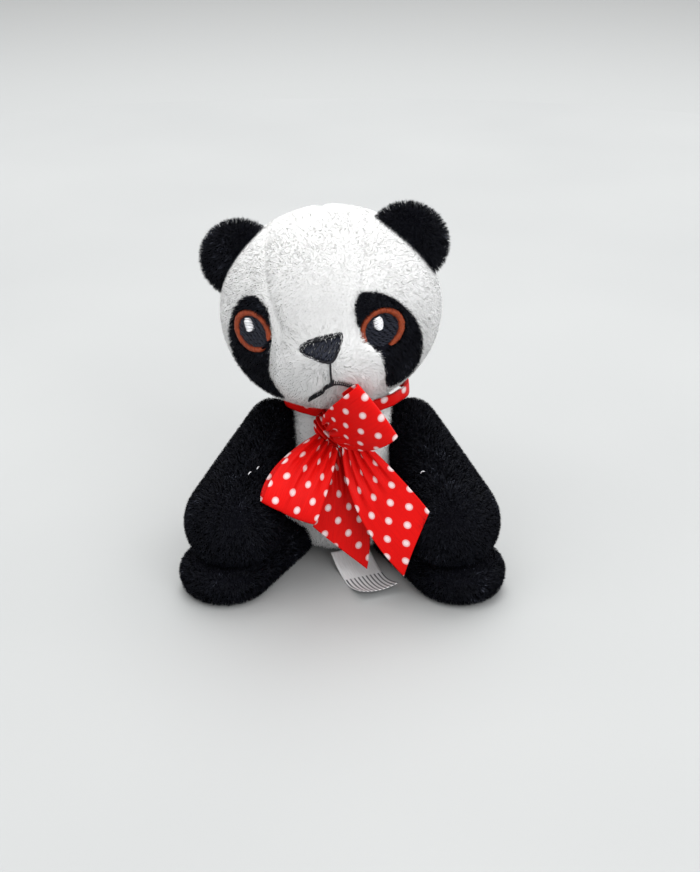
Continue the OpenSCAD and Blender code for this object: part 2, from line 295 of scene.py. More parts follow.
def part_of(co, faces, normals, pick):
    """The picked faces with their own points."""
    f = faces[pick]
    used, inverse = np.unique(f, return_inverse=True)
    return co[used], inverse.reshape(f.shape), normals[used]


# ---------- pile ----------

MAX_BLADES = 66000
# kind: (slot, fibres to a square mm, their width in mm, lean in degrees at the root and at the tip,
#        (size of the tufts in mm, how far their tips are drawn in), how far light follows single fibres,
#        how far fibres stray from the comb)
PILES = {
    "head": ("white_pile", 34, 0.11, (22, 58), (1.2, 0.05), 0.1, 0.9),
    "muzzle": ("white_pile", 34, 0.11, (12, 40), (1.7, 0.2), 0.1, 0.6),
    "torso": ("white_pile", 24, 0.12, (20, 56), (1.2, 0.08), 0.12, 0.6),
    "eye_patch": ("black_pile", 17, 0.17, (14, 48), (1.1, 0.35), 0.5, 1.2),
    "ear": ("black_pile", 19, 0.16, (6, 36), (1.1, 0.4), 0.6, 1.6),
    "limb": ("black_pile", 17, 0.17, (10, 46), (1.1, 0.4), 0.6, 1.6)}
FLOOR_GAP = 0.15  # no fibre comes nearer to the floor than this
PRESSED = 0.5  # length in mm of pile that lies on the floor


def grow(name, co, faces, normals, body, kind, length, comb=None, keep=None, floor=None):
    """Pile of separate tapered fibres on a skin, in several tints."""
    slot, density, width, lean, (tuft, gather), shade, mess = PILES[kind]
    _, tints, share = COATS[slot]
    tri = np.concatenate([faces[:, [0, 1, 2]], faces[:, [0, 2, 3]]]) if faces.shape[1] == 4 else faces
    a, b, c = (co[tri[:, k]] for k in range(3))
    area = np.linalg.norm(np.cross(b - a, c - a), axis=1) / 2
    count = int(min(MAX_BLADES, area.sum() * density))
    order = np.argsort(a @ vec(0.3, 0.5, 1.0))
    total = np.cumsum(area[order])
    at = (np.arange(count) + rng.random(count)) / count * total[-1]
    pick = order[np.minimum(np.searchsorted(total, at), len(order) - 1)]
    u, v = rng.random((2, count))
    fold = u + v > 1
    u, v = np.where(fold, 1 - u, u), np.where(fold, 1 - v, v)
    w = 1 - u - v
    root = w[:, None] * co[tri[pick, 0]] + u[:, None] * co[tri[pick, 1]] + v[:, None] * co[tri[pick, 2]]
    up = unit(w[:, None] * normals[tri[pick, 0]] + u[:, None] * normals[tri[pick, 1]]
              + v[:, None] * normals[tri[pick, 2]])
    long = np.broadcast_to(length(root, up) if callable(length) else length, (count,)).copy()
    if keep is not None:
        ok = keep(root)
        root, up, long = root[ok], up[ok], long[ok]
    n = len(root)
    long *= rng.uniform(0.78, 1.12, n)
    lie = comb(root) if comb is not None else np.tile(vec(0, 0, -1), (n, 1))
    lie = unit(lie) + mess * rng.normal(size=(n, 3))
    lie = unit(lie - up * (lie * up).sum(1, keepdims=True))
    first = np.radians(lean[0] * rng.uniform(0.3, 1.5, n))[:, None]
    second = np.radians(lean[1] * rng.uniform(0.6, 1.3, n))[:, None]
    d1, d2 = up * np.cos(first) + lie * np.sin(first), up * np.cos(second) + lie * np.sin(second)
    middle = root + d1 * (long * 0.5)[:, None]
    tip = middle + d2 * (long * 0.5)[:, None]
    cell = np.floor(root / tuft + 0.45 * drift(root, 2.5 * tuft))
    _, group = np.unique(cell.astype(np.int64) @ np.array([1, 4096, 4096 * 4096]), return_inverse=True)
    group = group.ravel()
    number = np.bincount(group)
    centre = np.stack([np.bincount(group, tip[:, k]) / number for k in range(3)], 1)[group]
    tip += (centre - tip) * gather * rng.uniform(0.5, 1.3, n)[:, None]
    across = unit(np.cross(d2, rng.normal(size=(n, 3)))) * (width * rng.uniform(0.75, 1.25, n) / 2)[:, None]
    across *= np.where((np.cross(across, d2) * up).sum(1, keepdims=True) < 0, -1, 1)
    base = root - up * 0.12
    points = np.stack([base - across, base + across, middle - across * 0.85, middle + across * 0.85, tip], 1)
    if floor is not None:
        points[..., 2] = np.maximum(points[..., 2], floor)
    flat = unit(np.cross(across, d2))
    seen = unit(up * (1 - shade) + flat * shade + 0.15 * d2)
    seen = np.repeat(seen[:, None], 5, 1)
    step = (np.arange(n) * 5)[:, None]
    faces = np.concatenate([step + np.array(t) for t in ((0, 1, 3), (0, 3, 2), (2, 3, 4))])
    mood = rng.random(n) * 0.75 + 0.25 * (wobble(root, 9.0, 1) * 0.5 + 0.5)
    tint = np.minimum(np.searchsorted(np.cumsum(share), mood), len(tints) - 1)
    add_mesh(name, points.reshape(-1, 3), faces, body, materials=tints, index=np.tile(tint, 3),
             normals=seen.reshape(-1, 3))


# ---------- materials ----------

def principled(name, **sockets):
    m = bpy.data.materials.new(name)
    m.use_nodes = True
    shader = m.node_tree.nodes["Principled BSDF"]
    for key, value in sockets.items():
        shader.inputs[key.replace("_", " ")].default_value = value
    return m, m.node_tree, shader


def rgba(colour):
    return (*colour, 1)


def node(nt, kind, **values):
    n = nt.nodes.new(kind)
    for key, value in values.items():
        if key in n.inputs:
            n.inputs[key].default_value = value
        else:
            setattr(n, key, value)
    return n


def wire(output, into):
    into.id_data.links.new(output, into)


def object_point(nt):
    return node(nt, "ShaderNodeTexCoord").outputs["Object"]


def two_tone(nt, shader, factor, low, high, at=(0.3, 0.7)):
    ramp = node(nt, "ShaderNodeValToRGB")
    for element, place, colour in zip(ramp.color_ramp.elements, at, (low, high)):
        element.position, element.color = place, rgba(colour)
    wire(factor, ramp.inputs["Fac"])
    wire(ramp.outputs["Color"], shader.inputs["Base Color"])
    return ramp


def bump(nt, shader, height, strength, distance):
    b = node(nt, "ShaderNodeBump", Strength=strength, Distance=distance)
    wire(height, b.inputs["Height"])
    wire(b.outputs["Normal"], shader.inputs["Normal"])


def fabric(name, low, high, grain=1500, **sockets):
    """Knitted backing: noise in its colour and a fine knotted surface."""
    m, nt, shader = principled(name, Roughness=0.95, **sockets)
    point = object_point(nt)
    cloud = node(nt, "ShaderNodeTexNoise", Scale=grain / 3, Detail=3.0)
    fine = node(nt, "ShaderNodeTexVoronoi", Scale=grain)
    for n in (cloud, fine):
        wire(point, n.inputs["Vector"])
    two_tone(nt, shader, cloud.outputs["Fac"], low, high)
    bump(nt, shader, fine.outputs["Distance"], 0.5, 0.0003)
    return m


def fibres(name, tints, **sockets):
    """One material for each tint of a pile."""
    return [principled("%s_%d" % (name, i), Base_Color=rgba(tint), **sockets)[0]
            for i, tint in enumerate(tints)]


def thread(name, low, high, roughness=0.38):
    """Shiny embroidery thread, a little uneven in colour, with its twist as bump."""
    m, nt, shader = principled(name, Roughness=roughness, Specular_IOR_Level=0.25)
    point = object_point(nt)
    cloud = node(nt, "ShaderNodeTexNoise", Scale=1200.0, Detail=2.0)
    twist = node(nt, "ShaderNodeTexWave", Scale=3500.0, Distortion=2.0)
    twist.bands_direction = "DIAGONAL"
    for n in (cloud, twist):
        wire(point, n.inputs["Vector"])
    two_tone(nt, shader, cloud.outputs["Fac"], low, high)
    bump(nt, shader, twist.outputs["Fac"], 0.35, 0.0001)
    return m


DOT_PITCH = 0.0056  # the dots sit on a square grid turned 45 degrees to the ribbon
DOT_R = 0.2         # their radius, as a share of the pitch


def satin(name, base, dark, dots=()):
    """Satin with lengthwise threads, and dots as (radius, colour) from the outside in. UV in metres."""
    m, nt, shader = principled(name, Roughness=0.45, Specular_IOR_Level=0.06)
    uv = node(nt, "ShaderNodeUVMap", uv_map="ribbon").outputs["UV"]
    stretch = node(nt, "ShaderNodeMapping", Scale=(120.0, 5200.0, 1.0))
    weave = node(nt, "ShaderNodeTexNoise", Scale=1.0, Detail=2.0)
    wire(uv, stretch.inputs["Vector"])
    wire(stretch.outputs["Vector"], weave.inputs["Vector"])
    ramp = two_tone(nt, shader, weave.outputs["Fac"], dark, base, (0.25, 0.6))
    bump(nt, shader, weave.outputs["Fac"], 0.16, 0.0001)
    if dots:
        grid = node(nt, "ShaderNodeMapping", Scale=(1 / DOT_PITCH,) * 3, Rotation=(0, 0, math.pi / 4))
        wire(uv, grid.inputs["Vector"])
        part = node(nt, "ShaderNodeVectorMath", operation="FRACTION")
        wire(grid.outputs["Vector"], part.inputs[0])
        middle = node(nt, "ShaderNodeVectorMath", operation="SUBTRACT")
        wire(part.outputs["Vector"], middle.inputs[0])
        middle.inputs[1].default_value = (0.5, 0.5, 0)
        away = node(nt, "ShaderNodeVectorMath", operation="LENGTH")
        wire(middle.outputs["Vector"], away.inputs[0])
        colour = ramp.outputs["Color"]
        for radius, tone in dots:
            inside = node(nt, "ShaderNodeMapRange")
            for key, value in zip(("From Min", "From Max", "To Min", "To Max"),
                                  (radius * 0.9, radius * 1.08, 1.0, 0.0)):
                inside.inputs[key].default_value = value
            wire(away.outputs["Value"], inside.inputs["Value"])
            mix = node(nt, "ShaderNodeMix", data_type="RGBA")
            mix.inputs[7].default_value = rgba(tone)
            wire(inside.outputs["Result"], mix.inputs["Factor"])
            wire(colour, mix.inputs[6])
            colour = mix.outputs[2]
        wire(colour, shader.inputs["Base Color"])
    return m


def metal(name, low, high, roughness=0.2):
    m, nt, shader = principled(name, Metallic=1.0)
    point = object_point(nt)
    scratch = node(nt, "ShaderNodeTexNoise", Scale=900.0, Detail=4.0)
    wire(point, scratch.inputs["Vector"])
    two_tone(nt, shader, scratch.outputs["Fac"], low, high)
    rough = node(nt, "ShaderNodeMapRange")
    for key, share in (("To Min", 0.6), ("To Max", 1.6)):
        rough.inputs[key].default_value = roughness * share
    wire(scratch.outputs["Fac"], rough.inputs["Value"])
    wire(rough.outputs["Result"], shader.inputs["Roughness"])
    bump(nt, shader, scratch.outputs["Fac"], 0.05, 0.0001)
    return m


WHITE_CLOTH = fabric("white_backing", (0.84, 0.837, 0.825), (0.94, 0.937, 0.928))
BLACK_CLOTH = fabric("black_backing", (0.002, 0.002, 0.004), (0.006, 0.006, 0.01), Specular_IOR_Level=0.1)
WHITE_PILE = fibres("white_pile", ((0.895, 0.892, 0.882), (0.912, 0.91, 0.901), (0.928, 0.926, 0.918),
                                   (0.945, 0.943, 0.937)),
                    Roughness=0.85, Specular_IOR_Level=0.25, Sheen_Weight=0.1, Sheen_Roughness=0.6)
# the last and lightest black pile tint, given to a small share of the fibres, is a painted glint: grey fibres
# that stand in for light caught on the black pile
BLACK_PILE = fibres("black_pile", ((0.001, 0.0013, 0.0035), (0.002, 0.0026, 0.006), (0.006, 0.007, 0.012),
                                   (0.055, 0.06, 0.08)),
                    Roughness=0.6, Specular_IOR_Level=0.12)
# slot: (backing, tints of its fibres, share of each tint)
COATS = {"white_pile": (WHITE_CLOTH, WHITE_PILE, (0.2, 0.3, 0.3, 0.2)),
         "black_pile": (BLACK_CLOTH, BLACK_PILE, (0.4, 0.33, 0.2, 0.07))}
BROWN = thread("brown_satin_stitch", (0.16, 0.022, 0.005), (0.27, 0.044, 0.010))
NAVY = thread("navy_stitch", (0.005, 0.006, 0.012), (0.018, 0.021, 0.034), 0.5)
INK = thread("black_stitch", (0.002, 0.002, 0.004), (0.007, 0.007, 0.010), 0.5)
SILK = thread("white_stitch", (0.70, 0.70, 0.72), (0.92, 0.92, 0.94))
RIBBON = satin("dotted_satin", (0.60, 0.005, 0.004), (0.48, 0.003, 0.003),
               [(DOT_R, (0.62, 0.34, 0.34)), (DOT_R * 0.62, (0.68, 0.54, 0.54))])
CORD = satin("red_cord", (0.72, 0.012, 0.008), (0.5, 0.006, 0.004))
FILL = fabric("fibre_fill", (0.70, 0.69, 0.66), (0.88, 0.87, 0.84), grain=900)
PELLETS = fabric("pellet_bag_cloth", (0.55, 0.47, 0.33), (0.70, 0.62, 0.46), grain=2200)
STEEL = metal("nickel_plate", (0.50, 0.50, 0.52), (0.72, 0.72, 0.73))


# ---------- head ----------

HEAD_NODES = ("head_gusset", "head_side_left", "head_side_right", "head_back_left", "head_back_right")
HEAD_R, HEAD_HALF_H = 31.5, 28.5
HEAD_TURN = (-2, -7.5, -5)   # lift, roll and yaw in degrees, as in the CAD
INSET = 0.7                  # how far the backing lies under the CAD's surface, which is the pile's


def turn(rx, ry, rz):
    x, y, z = (math.radians(a) for a in (rx, ry, rz))
    rot_x = np.array([[1, 0, 0], [0, math.cos(x), -math.sin(x)], [0, math.sin(x), math.cos(x)]])
    rot_y = np.array([[math.cos(y), 0, math.sin(y)], [0, 1, 0], [-math.sin(y), 0, math.cos(y)]])
    rot_z = np.array([[math.cos(z), -math.sin(z), 0], [math.sin(z), math.cos(z), 0], [0, 0, 1]])
    return rot_z @ rot_y @ rot_x


HEAD_ROT = turn(*HEAD_TURN)
head_lo, head_hi = node_box(*HEAD_NODES)
head_top = np.linalg.norm(HEAD_ROT[2] * vec(HEAD_R, HEAD_R, HEAD_HALF_H))
HEAD_MID = vec((head_lo[0] + head_hi[0]) / 2, (head_lo[1] + head_hi[1]) / 2, head_hi[2] - head_top)
MUZZLE_MID, MUZZLE_HALF = vec(1.3, -22, -7), vec(16, 12.5, 12.5)


def to_world(p):
    return p @ HEAD_ROT.T + HEAD_MID


def to_head(p):
    return (p - HEAD_MID) @ HEAD_ROT


def head_surface(direction, grow_by=0.0):
    """The head and muzzle as one rounded form, as a distance from the middle of the head."""
    size = vec(HEAD_R, HEAD_R, HEAD_HALF_H) - INSET + grow_by
    a = 1 / np.linalg.norm(direction / size, axis=1)
    half = MUZZLE_HALF - INSET + grow_by
    d, m = direction / half, MUZZLE_MID / half
    qa, qb, qc = (d * d).sum(1), (d * m).sum(1), (m * m).sum() - 1
    root = np.sqrt(np.maximum(qb * qb - qa * qc, 0))
    b = np.where(qb * qb > qa * qc, (qb + root) / qa, 0)
    return (a + b + np.sqrt((a - b) ** 2 + 2.2 ** 2)) / 2 - 2.2 ** 2 / 4 / (np.abs(a - b) + 2.2)


def gusset_edge(p):
    """How far a point lies outside the gusset, which widens from the nose to the crown."""
    return np.abs(p[:, 0]) - (8.5 + 5.5 * smoothstep(p[:, 2], -6, 24))


def seam_distance(p):
    front, low = p[:, 1] < 4, -6 - p[:, 2]
    across = np.where(front, np.maximum(np.abs(gusset_edge(p)), low),
                      np.abs(p[:, 0]))
    below = np.where(front & (p[:, 2] < -6), np.abs(p[:, 0]) + 3 * (p[:, 1] > -20), 99)
    return np.minimum(np.minimum(across, below), np.abs(p[:, 1] - 4))


ico = bpy.data.meshes.new("directions")
bm = bmesh.new()
bmesh.ops.create_icosphere(bm, subdivisions=6, radius=1)
bm.to_mesh(ico)
bm.free()
directions = mesh_points(ico)
ico_faces = np.zeros(len(ico.loops), np.int32)
ico.loops.foreach_get("vertex_index", ico_faces)
head_co, head_faces = swell(directions * head_surface(directions)[:, None], [ico_faces.reshape(-1, 3)], 0,
                            lambda p: np.exp(-(seam_distance(p) / 1.2) ** 2), cap=0.7)

# the drawing on the face, in mm across and up on the front of the head
EYES = {-1: vec(-18.2, 2.9), 1: vec(16.5, 0.7)}
EYE_R, EYE_RING_W = 5.7, 1.6
NOSE_AT = vec(1.0, -1.9)
NOSE = vec([-5.8, 0.5], [-4.6, 2.0], [-1.8, 3.1], [2.2, 3.7], [4.9, 4.0], [5.4, 3.0], [4.6, 0.6], [3.2, -1.7],
           [2.1, -2.7], [0.4, -2.4], [-3.6, -0.9])
MOUTH = [vec([2.9, -4.6], [2.6, -7.5], [2.5, -10.2]), vec([2.5, -10.2], [5.0, -10.5], [8.4, -12.6]),
         vec([2.5, -10.2], [-0.6, -12.4], [-4.6, -15.2])]
PATCHES = {
    -1: vec([-15.8, 12.6], [-19.6, 11.8], [-23.0, 8.4], [-25.8, 2.5], [-26.4, -4], [-25.2, -10],
            [-21.8, -15.2], [-17.2, -18.4], [-12.6, -19.2], [-14.6, -14.5], [-15.4, -8], [-13.8, -2.4],
            [-12.2, 4], [-12.8, 9.8]),
    1: vec([13.4, 11.4], [17.6, 9.9], [21.7, 6.4], [24.9, 0.8], [26.0, -4.8], [25.2, -10.4], [23.2, -15],
           [19.6, -18.6], [14.6, -18.8], [15.6, -12], [15.2, -6], [12.6, -1], [10.6, 3], [9.8, 7.2],
           [10.8, 10.4])}


def rounded(corners, rounds=3):
    """A smooth closed outline through the middles of a polygon's sides."""
    p = np.asarray(corners, float)
    for _ in range(rounds):
        q = np.roll(p, -1, 0)
        p = np.stack([0.75 * p + 0.25 * q, 0.25 * p + 0.75 * q], 1).reshape(-1, 2)
    return p


def inside(points, outline):
    x, y = points[:, 0], points[:, 1]
    odd = np.zeros(len(points), bool)
    for (x1, y1), (x2, y2) in zip(outline, np.roll(outline, -1, 0)):
        if y1 != y2:
            odd ^= ((y1 > y) != (y2 > y)) & (x < (x2 - x1) * (y - y1) / (y2 - y1) + x1)
    return odd


def line_distance(points, line, closed=False):
    ends = np.roll(line, -1, 0) if closed else line[1:]
    best = np.full(len(points), 1e9)
    for a, b in zip(line, ends):
        t = np.clip((points - a) @ (b - a) / ((b - a) @ (b - a)), 0, 1)
        best = np.minimum(best, np.linalg.norm(points - a - t[:, None] * (b - a), axis=1))
    return best


NOSE_LINE = rounded(NOSE) + NOSE_AT
PATCH_LINES = {s: rounded(p) for s, p in PATCHES.items()}

head_co = crease(head_co, head_faces, np.abs(seam_distance(head_co)), 0.45, 1.1)
bulge = np.linalg.norm(head_co, axis=1) - 1 / np.linalg.norm(
    unit(head_co) / (vec(HEAD_R, HEAD_R, HEAD_HALF_H) - INSET), axis=1)
face_mid = head_co[head_faces].mean(1)
drawn, front = face_mid[:, [0, 2]], face_mid[:, 1] < 4
PANELS = ("head_gusset", "head_side_left", "head_side_right", "head_back_left", "head_back_right", "muzzle",
          "eye_patch_left", "eye_patch_right")
label = np.where(face_mid[:, 0] < 0, 3, 4)
label[front] = np.where(face_mid[front, 0] < 0, 1, 2)
label[front & (gusset_edge(face_mid) < 0) & (face_mid[:, 2] > -6)] = 0
for s, k in ((-1, 6), (1, 7)):
    label[front & (face_mid[:, 1] < -8) & inside(drawn, PATCH_LINES[s])] = k
label[(bulge[head_faces].mean(1) > 1.6) & (face_mid[:, 1] < -10)] = 5
head_co = even_edges(head_co, head_faces, label)
head_normals = vertex_normals(head_co, head_faces)
head_tree = BVHTree.FromPolygons(head_co.tolist(), head_faces.tolist())
world_co, world_normals = to_world(head_co), head_normals @ HEAD_ROT.T


def on_face(points, lift=0.0):
    """Points drawn across and up, set on the front of the head, with the way out of the surface there."""
    spots, outs = [], []
    for x, z in points:
        spot, out, _, _ = head_tree.ray_cast(Vector((x, -90, z)), Vector((0, 1, 0)))
        if spot is None:
            spot, out, _, _ = head_tree.find_nearest(Vector((x, -20, z)))
        spots.append(spot)
        outs.append(out)
    spots, outs = np.array(spots, float), unit(np.array(outs, float))
    return to_world(spots + outs * lift), outs @ HEAD_ROT.T


WHISKER_FROM = to_world(vec([1.5, -34, -4]))[0]


def comb_head(p):
    """The pile lies down the head, and away from the nose on the muzzle."""
    local = to_head(p)
    away = unit(p - WHISKER_FROM)
    near = smoothstep(-np.linalg.norm(local - vec(1.5, -32, -5), axis=1), -17, -9)[:, None]
    astray = drift(p, 16)
    return (1 - near) * (vec(0, -0.25, -1) + 0.5 * astray) + near * (away + 0.25 * astray)


def face_clear(p):
    """True where no embroidery presses the pile flat."""
    local = to_head(p)
    q, ok = local[:, [0, 2]], local[:, 1] > -5
    free = np.ones(len(p), bool)
    for s in (-1, 1):
        free &= np.linalg.norm(q - EYES[s], axis=1) > EYE_R + 0.1
    free &= ~inside(q, NOSE_LINE)
    for line in MOUTH:
        free &= line_distance(q, line) > 0.6
    return free | ok


def head_length(p, up):
    """Short pile on the head, fluffier on the muzzle, shorter along the seams."""
    local = to_head(p)
    long = 1.35 + 1.7 * smoothstep(-np.linalg.norm(local - vec(1.5, -30, -8), axis=1), -17, -10)
    drawn_line = np.min([line_distance(local[:, [0, 2]], line) for line in MOUTH], axis=0)
    long = long * (0.4 + 0.6 * smoothstep(drawn_line, 0.5, 3.2))
    return long * (1 - 0.2 * np.exp(-(np.abs(seam_distance(local)) / 0.9) ** 2))


CLOTH_T = 0.6


def skin(name, co, faces, normals, body, slot, node_name):
    """A sewn panel of a stuffed cover: its backing, which stands for the CAD node."""
    shell, parts = with_thickness(co, faces, normals, CLOTH_T)
    ob = add_mesh(name + "_cloth", shell, parts, body, materials=[COATS[slot][0]])
    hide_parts(node_name)


PATCH_PILE = 2.1
for k, panel in enumerate(PANELS):
    co, faces, normals = part_of(world_co, head_faces, world_normals, label == k)
    patch = panel.startswith("eye_patch")
    kind = "eye_patch" if patch else "muzzle" if panel == "muzzle" else "head"
    skin(panel, co, faces, normals, "head", PILES[kind][0], panel)
    grow(panel + "_pile", co, faces, normals, "head", kind, PATCH_PILE if patch else head_length, comb_head,
         face_clear)


# ---------- ears ----------

EAR_MID, EAR_R, EAR_T, EAR_PILE = vec(24, 0, 16.5), 11.5, 5.4, 2.3
EAR_BOWL = 0.016  # how quickly the ear curves forward, per mm from its middle
for s, side in ((-1, "left"), (1, "right")):
    rim = [(0, -EAR_T / 2)] + [((EAR_R - INSET) * math.cos(a) ** 0.75, (EAR_T / 2) * math.sin(a))
                               for a in np.radians(np.linspace(-80, 80, 15))] + [(0, EAR_T / 2)]
    co, faces = lathe(rim, 48)
    co = co[:, [0, 2, 1]] * vec(1, -1, 1)
    co[:, 1] += EAR_BOWL * (co[:, 0] ** 2 + co[:, 2] ** 2) - 1
    ear_at = EAR_MID * vec(s, 1, 1)
    co, faces = swell(co + ear_at, faces, 0.9,
                      lambda p: (np.linalg.norm((p - ear_at)[:, [0, 2]], axis=1) > EAR_R - 2.2) * 1.0,
                      cap=0.7, pressure=6.0)
    local = co - ear_at
    flat = local[:, 1] - EAR_BOWL * (local[:, 0] ** 2 + local[:, 2] ** 2) + 1
    edge = np.hypot(local[:, 0], local[:, 2]) > EAR_R - 2.6
    co = crease(co, faces, np.where(edge, np.abs(flat), 9), 0.5, 0.6)
    mid = co[faces].mean(1)
    outside = np.linalg.norm(mid / (vec(HEAD_R, HEAD_R, HEAD_HALF_H) - 2.4), axis=1) > 1
    ahead = flat[faces].mean(1) < 0
    normals = vertex_normals(co, faces)
    co, normals = to_world(co), normals @ HEAD_ROT.T
    for name, pick in (("front", ahead), ("back", ~ahead)):
        piece = "ear_%s_%s" % (side, name)
        c, f, n = part_of(co, faces, normals, pick & outside)
        skin(piece, c, f, n, "head", "black_pile", piece)
        grow(piece + "_pile", c, f, n, "head", "ear", EAR_PILE)


# ---------- embroidery ----------

THREAD_R = 0.2
STITCH_POINTS = 7
STITCH_SLIP = 0.16  # how unevenly rows of stitches lie, as a share of their pitch


def stitches(name, ends, material, nodes=(), lift=0.45, arch=0.35, radius=THREAD_R):
    """Satin stitches on the face: each runs between two drawn points and rises in the middle."""
    ends = np.asarray(ends, float)
    t = np.linspace(0, 1, STITCH_POINTS)
    drawn = ends[:, :1] + (ends[:, 1:] - ends[:, :1]) * t[:, None]
    paths, outs = (x.reshape(len(ends), STITCH_POINTS, 3) for x in on_face(drawn.reshape(-1, 2)))
    outs = unit(outs.mean(1, keepdims=True) + 0 * outs)
    height = lift + arch * np.sin(math.pi * t) + 0.05 * rng.normal(size=(len(ends), 1))
    height[:, [0, -1]] = -0.15
    paths = paths + outs * height[..., None]
    taper = np.sqrt(np.maximum(np.sin(math.pi * (0.06 + 0.88 * t)), 0.05))
    thick = radius * taper * rng.uniform(0.9, 1.1, (len(ends), 1))
    co, faces = tubes(paths, thick, outs, flat=0.7)
    ob = add_mesh(name, co, faces, "head", materials=[material])
    if nodes:
        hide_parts(*nodes)


def hatch(outline, angle, pitch, longest):
    """Rows of stitches that fill a drawn outline, broken into lengths like a fill stitch."""
    a = math.radians(angle)
    along, across = vec(math.cos(a), math.sin(a)), vec(-math.sin(a), math.cos(a))
    v = outline @ across
    found = []
    for row, at in enumerate(np.arange(v.min() + pitch / 2, v.max(), pitch)):
        cut = []
        for p, q in zip(outline, np.roll(outline, -1, 0)):
            a1, a2 = p @ across - at, q @ across - at
            if (a1 > 0) != (a2 > 0):
                cut.append((p + (q - p) * a1 / (a1 - a2)) @ along)
        cut.sort()
        for lo, hi in zip(cut[::2], cut[1::2]):
            if hi - lo < 0.3:
                continue
            marks = [lo] + [x for x in np.arange(lo - (row % 3) * longest / 3 + longest, hi - 0.6, longest)
                            if x > lo + 0.6] + [hi]
            for x, y in zip(marks, marks[1:]):
                found.append((along * (x - 0.12) + across * (at + STITCH_SLIP * pitch * rng.normal()),
                              along * (y + 0.12) + across * at))
    return found


def circle(mid, rx, ry, steps=40):
    a = np.arange(steps) * 2 * math.pi / steps
    return mid + np.stack([rx * np.cos(a), ry * np.sin(a)], 1)


RING_SPAN = {-1: (-22, 300), 1: (-75, 205)}  # each ring is open where the white fur lies over it, in degrees
RING_SLANT = 0.09  # in radians
HIGHLIGHT = {-1: vec(-0.8, 1.8), 1: vec(-0.7, 2.0)}
for s, side in ((-1, "left"), (1, "right")):
    mid = EYES[s]
    iris = circle(mid, EYE_R - EYE_RING_W * 0.7, EYE_R - EYE_RING_W * 0.7)
    stitches("iris_stitches_" + side, hatch(iris, -38, 0.4, 3.4), NAVY, ["iris_" + side],
             lift=0.4, arch=0.12)
    lo, hi = (math.radians(a) for a in RING_SPAN[s])
    angles = np.arange(lo, hi, 0.3 / (EYE_R - EYE_RING_W / 2))
    ring = []
    for a in angles:
        ends = min(1, 0.35 + 3 * min(a - lo, hi - a))
        half = EYE_RING_W / 2 * ends * rng.uniform(0.92, 1.12)
        r = EYE_R - EYE_RING_W / 2
        ring.append([mid + (r - half) * vec(math.cos(a), math.sin(a)),
                     mid + (r + half) * vec(math.cos(a + RING_SLANT), math.sin(a + RING_SLANT))])
    stitches("eye_ring_stitches_" + side, ring, BROWN, ["eye_ring_" + side],
             lift=0.75, arch=0.45)
    stitches("eye_highlight_stitches_" + side, hatch(circle(mid + HIGHLIGHT[s], 1.35, 1.75), 14, 0.38, 9),
             SILK, ["eye_highlight_" + side], lift=0.85, arch=0.3)

stitches("nose_fill", hatch(NOSE_LINE, 62, 0.42, 3.6), NAVY, lift=0.7, arch=0.2, radius=0.28)
nose_edge = []
for p, q in zip(NOSE_LINE, np.roll(NOSE_LINE, -1, 0)):
    n = unit(vec(-(q - p)[1], (q - p)[0]))
    half = 0.38 + 0.5 * smoothstep(n[1], 0.2, 0.8)  # the outline is thickest along the top of the nose
    for k in np.arange(0, 1, 0.3 / max(0.3, np.linalg.norm(q - p))):
        nose_edge.append((p + (q - p) * k - half * n, p + (q - p) * k + half * n))
stitches("nose_outline", nose_edge, INK, ["nose"], lift=1.1, arch=0.5)


def strand(line, pitch=0.5, width=0.2, slant=0.7):
    """Short slanted stitches that overlap along a drawn line."""
    p = np.asarray(line, float)
    if len(p) == 3:
        t = np.linspace(0, 1, 24)[:, None]
        p = (1 - t) ** 2 * p[0] + 2 * t * (1 - t) * (2 * p[1] - (p[0] + p[2]) / 2) + t ** 2 * p[2]
    length = run_length(p)
    at = np.arange(0, length[-1], pitch)
    spot = np.stack([np.interp(at, length, p[:, k]) for k in range(2)], 1)
    way = unit(np.gradient(p, axis=0))
    way = unit(np.stack([np.interp(at, length, way[:, k]) for k in range(2)], 1))
    side = np.stack([-way[:, 1], way[:, 0]], 1)
    return [(a - way_ * slant - side_ * width, a + way_ * slant + side_ * width)
            for a, way_, side_ in zip(spot, way, side)]


stitches("mouth_line", sum([strand(line) for line in MOUTH], []), INK, ["mouth_stitch"],
         lift=1.3, arch=0.5, radius=0.21)


# ---------- torso ----------

TORSO_R, WAIST_Z, SEAT_R, TORSO_TOP, TORSO_TAPER = 22, 17, 14, 47, 35


def torso_outline(d):
    low = [(SEAT_R - d + (TORSO_R - SEAT_R) * math.sin(a), d + (WAIST_Z - d) * (1 - math.cos(a)))
           for a in np.radians(np.linspace(0, 90, 14))]
    rise = np.linspace(0, 1, 17)[1:] * (TORSO_TOP - d - WAIST_Z)
    high = [((TORSO_R - d) * math.sqrt(1 - (z / TORSO_TAPER) ** 2), WAIST_Z + z) for z in rise]
    return [(0, d), *low, *high, (0, TORSO_TOP - d)]


def torso_pile(p, up):
    """Pile that is pressed short where it lies on the floor."""
    return np.where((up[:, 2] < -0.4) & (p[:, 2] < 3.0), PRESSED, 1.6)


def torso_comb(p):
    return vec(0, 0, -1) + 0.8 * drift(p, 18)


co, faces = lathe(torso_outline(0.8), 72)
co, faces = swell(co, faces, 1.1, lambda p: np.maximum(np.exp(-(p[:, 1] / 1.2) ** 2), (p[:, 2] < 1.4) * 1.0),
                  cap=0.8)
co = crease(co, faces, np.where(co[:, 2] > 2, np.abs(co[:, 1]), 9), 0.7, 1.0)
filling_parts = (co, faces)
label = (co[faces].mean(1)[:, 1] > 0).astype(int)
co = even_edges(co, faces, label)
normals = vertex_normals(co, faces)
for k, piece in enumerate(("torso_cover_front", "torso_cover_back")):
    c, f, n = part_of(co, faces, normals, label == k)
    skin(piece, c, f, n, "torso", "white_pile", piece)
    grow(piece + "_pile", c, f, n, "torso", "torso", torso_pile, torso_comb, floor=FLOOR_GAP)


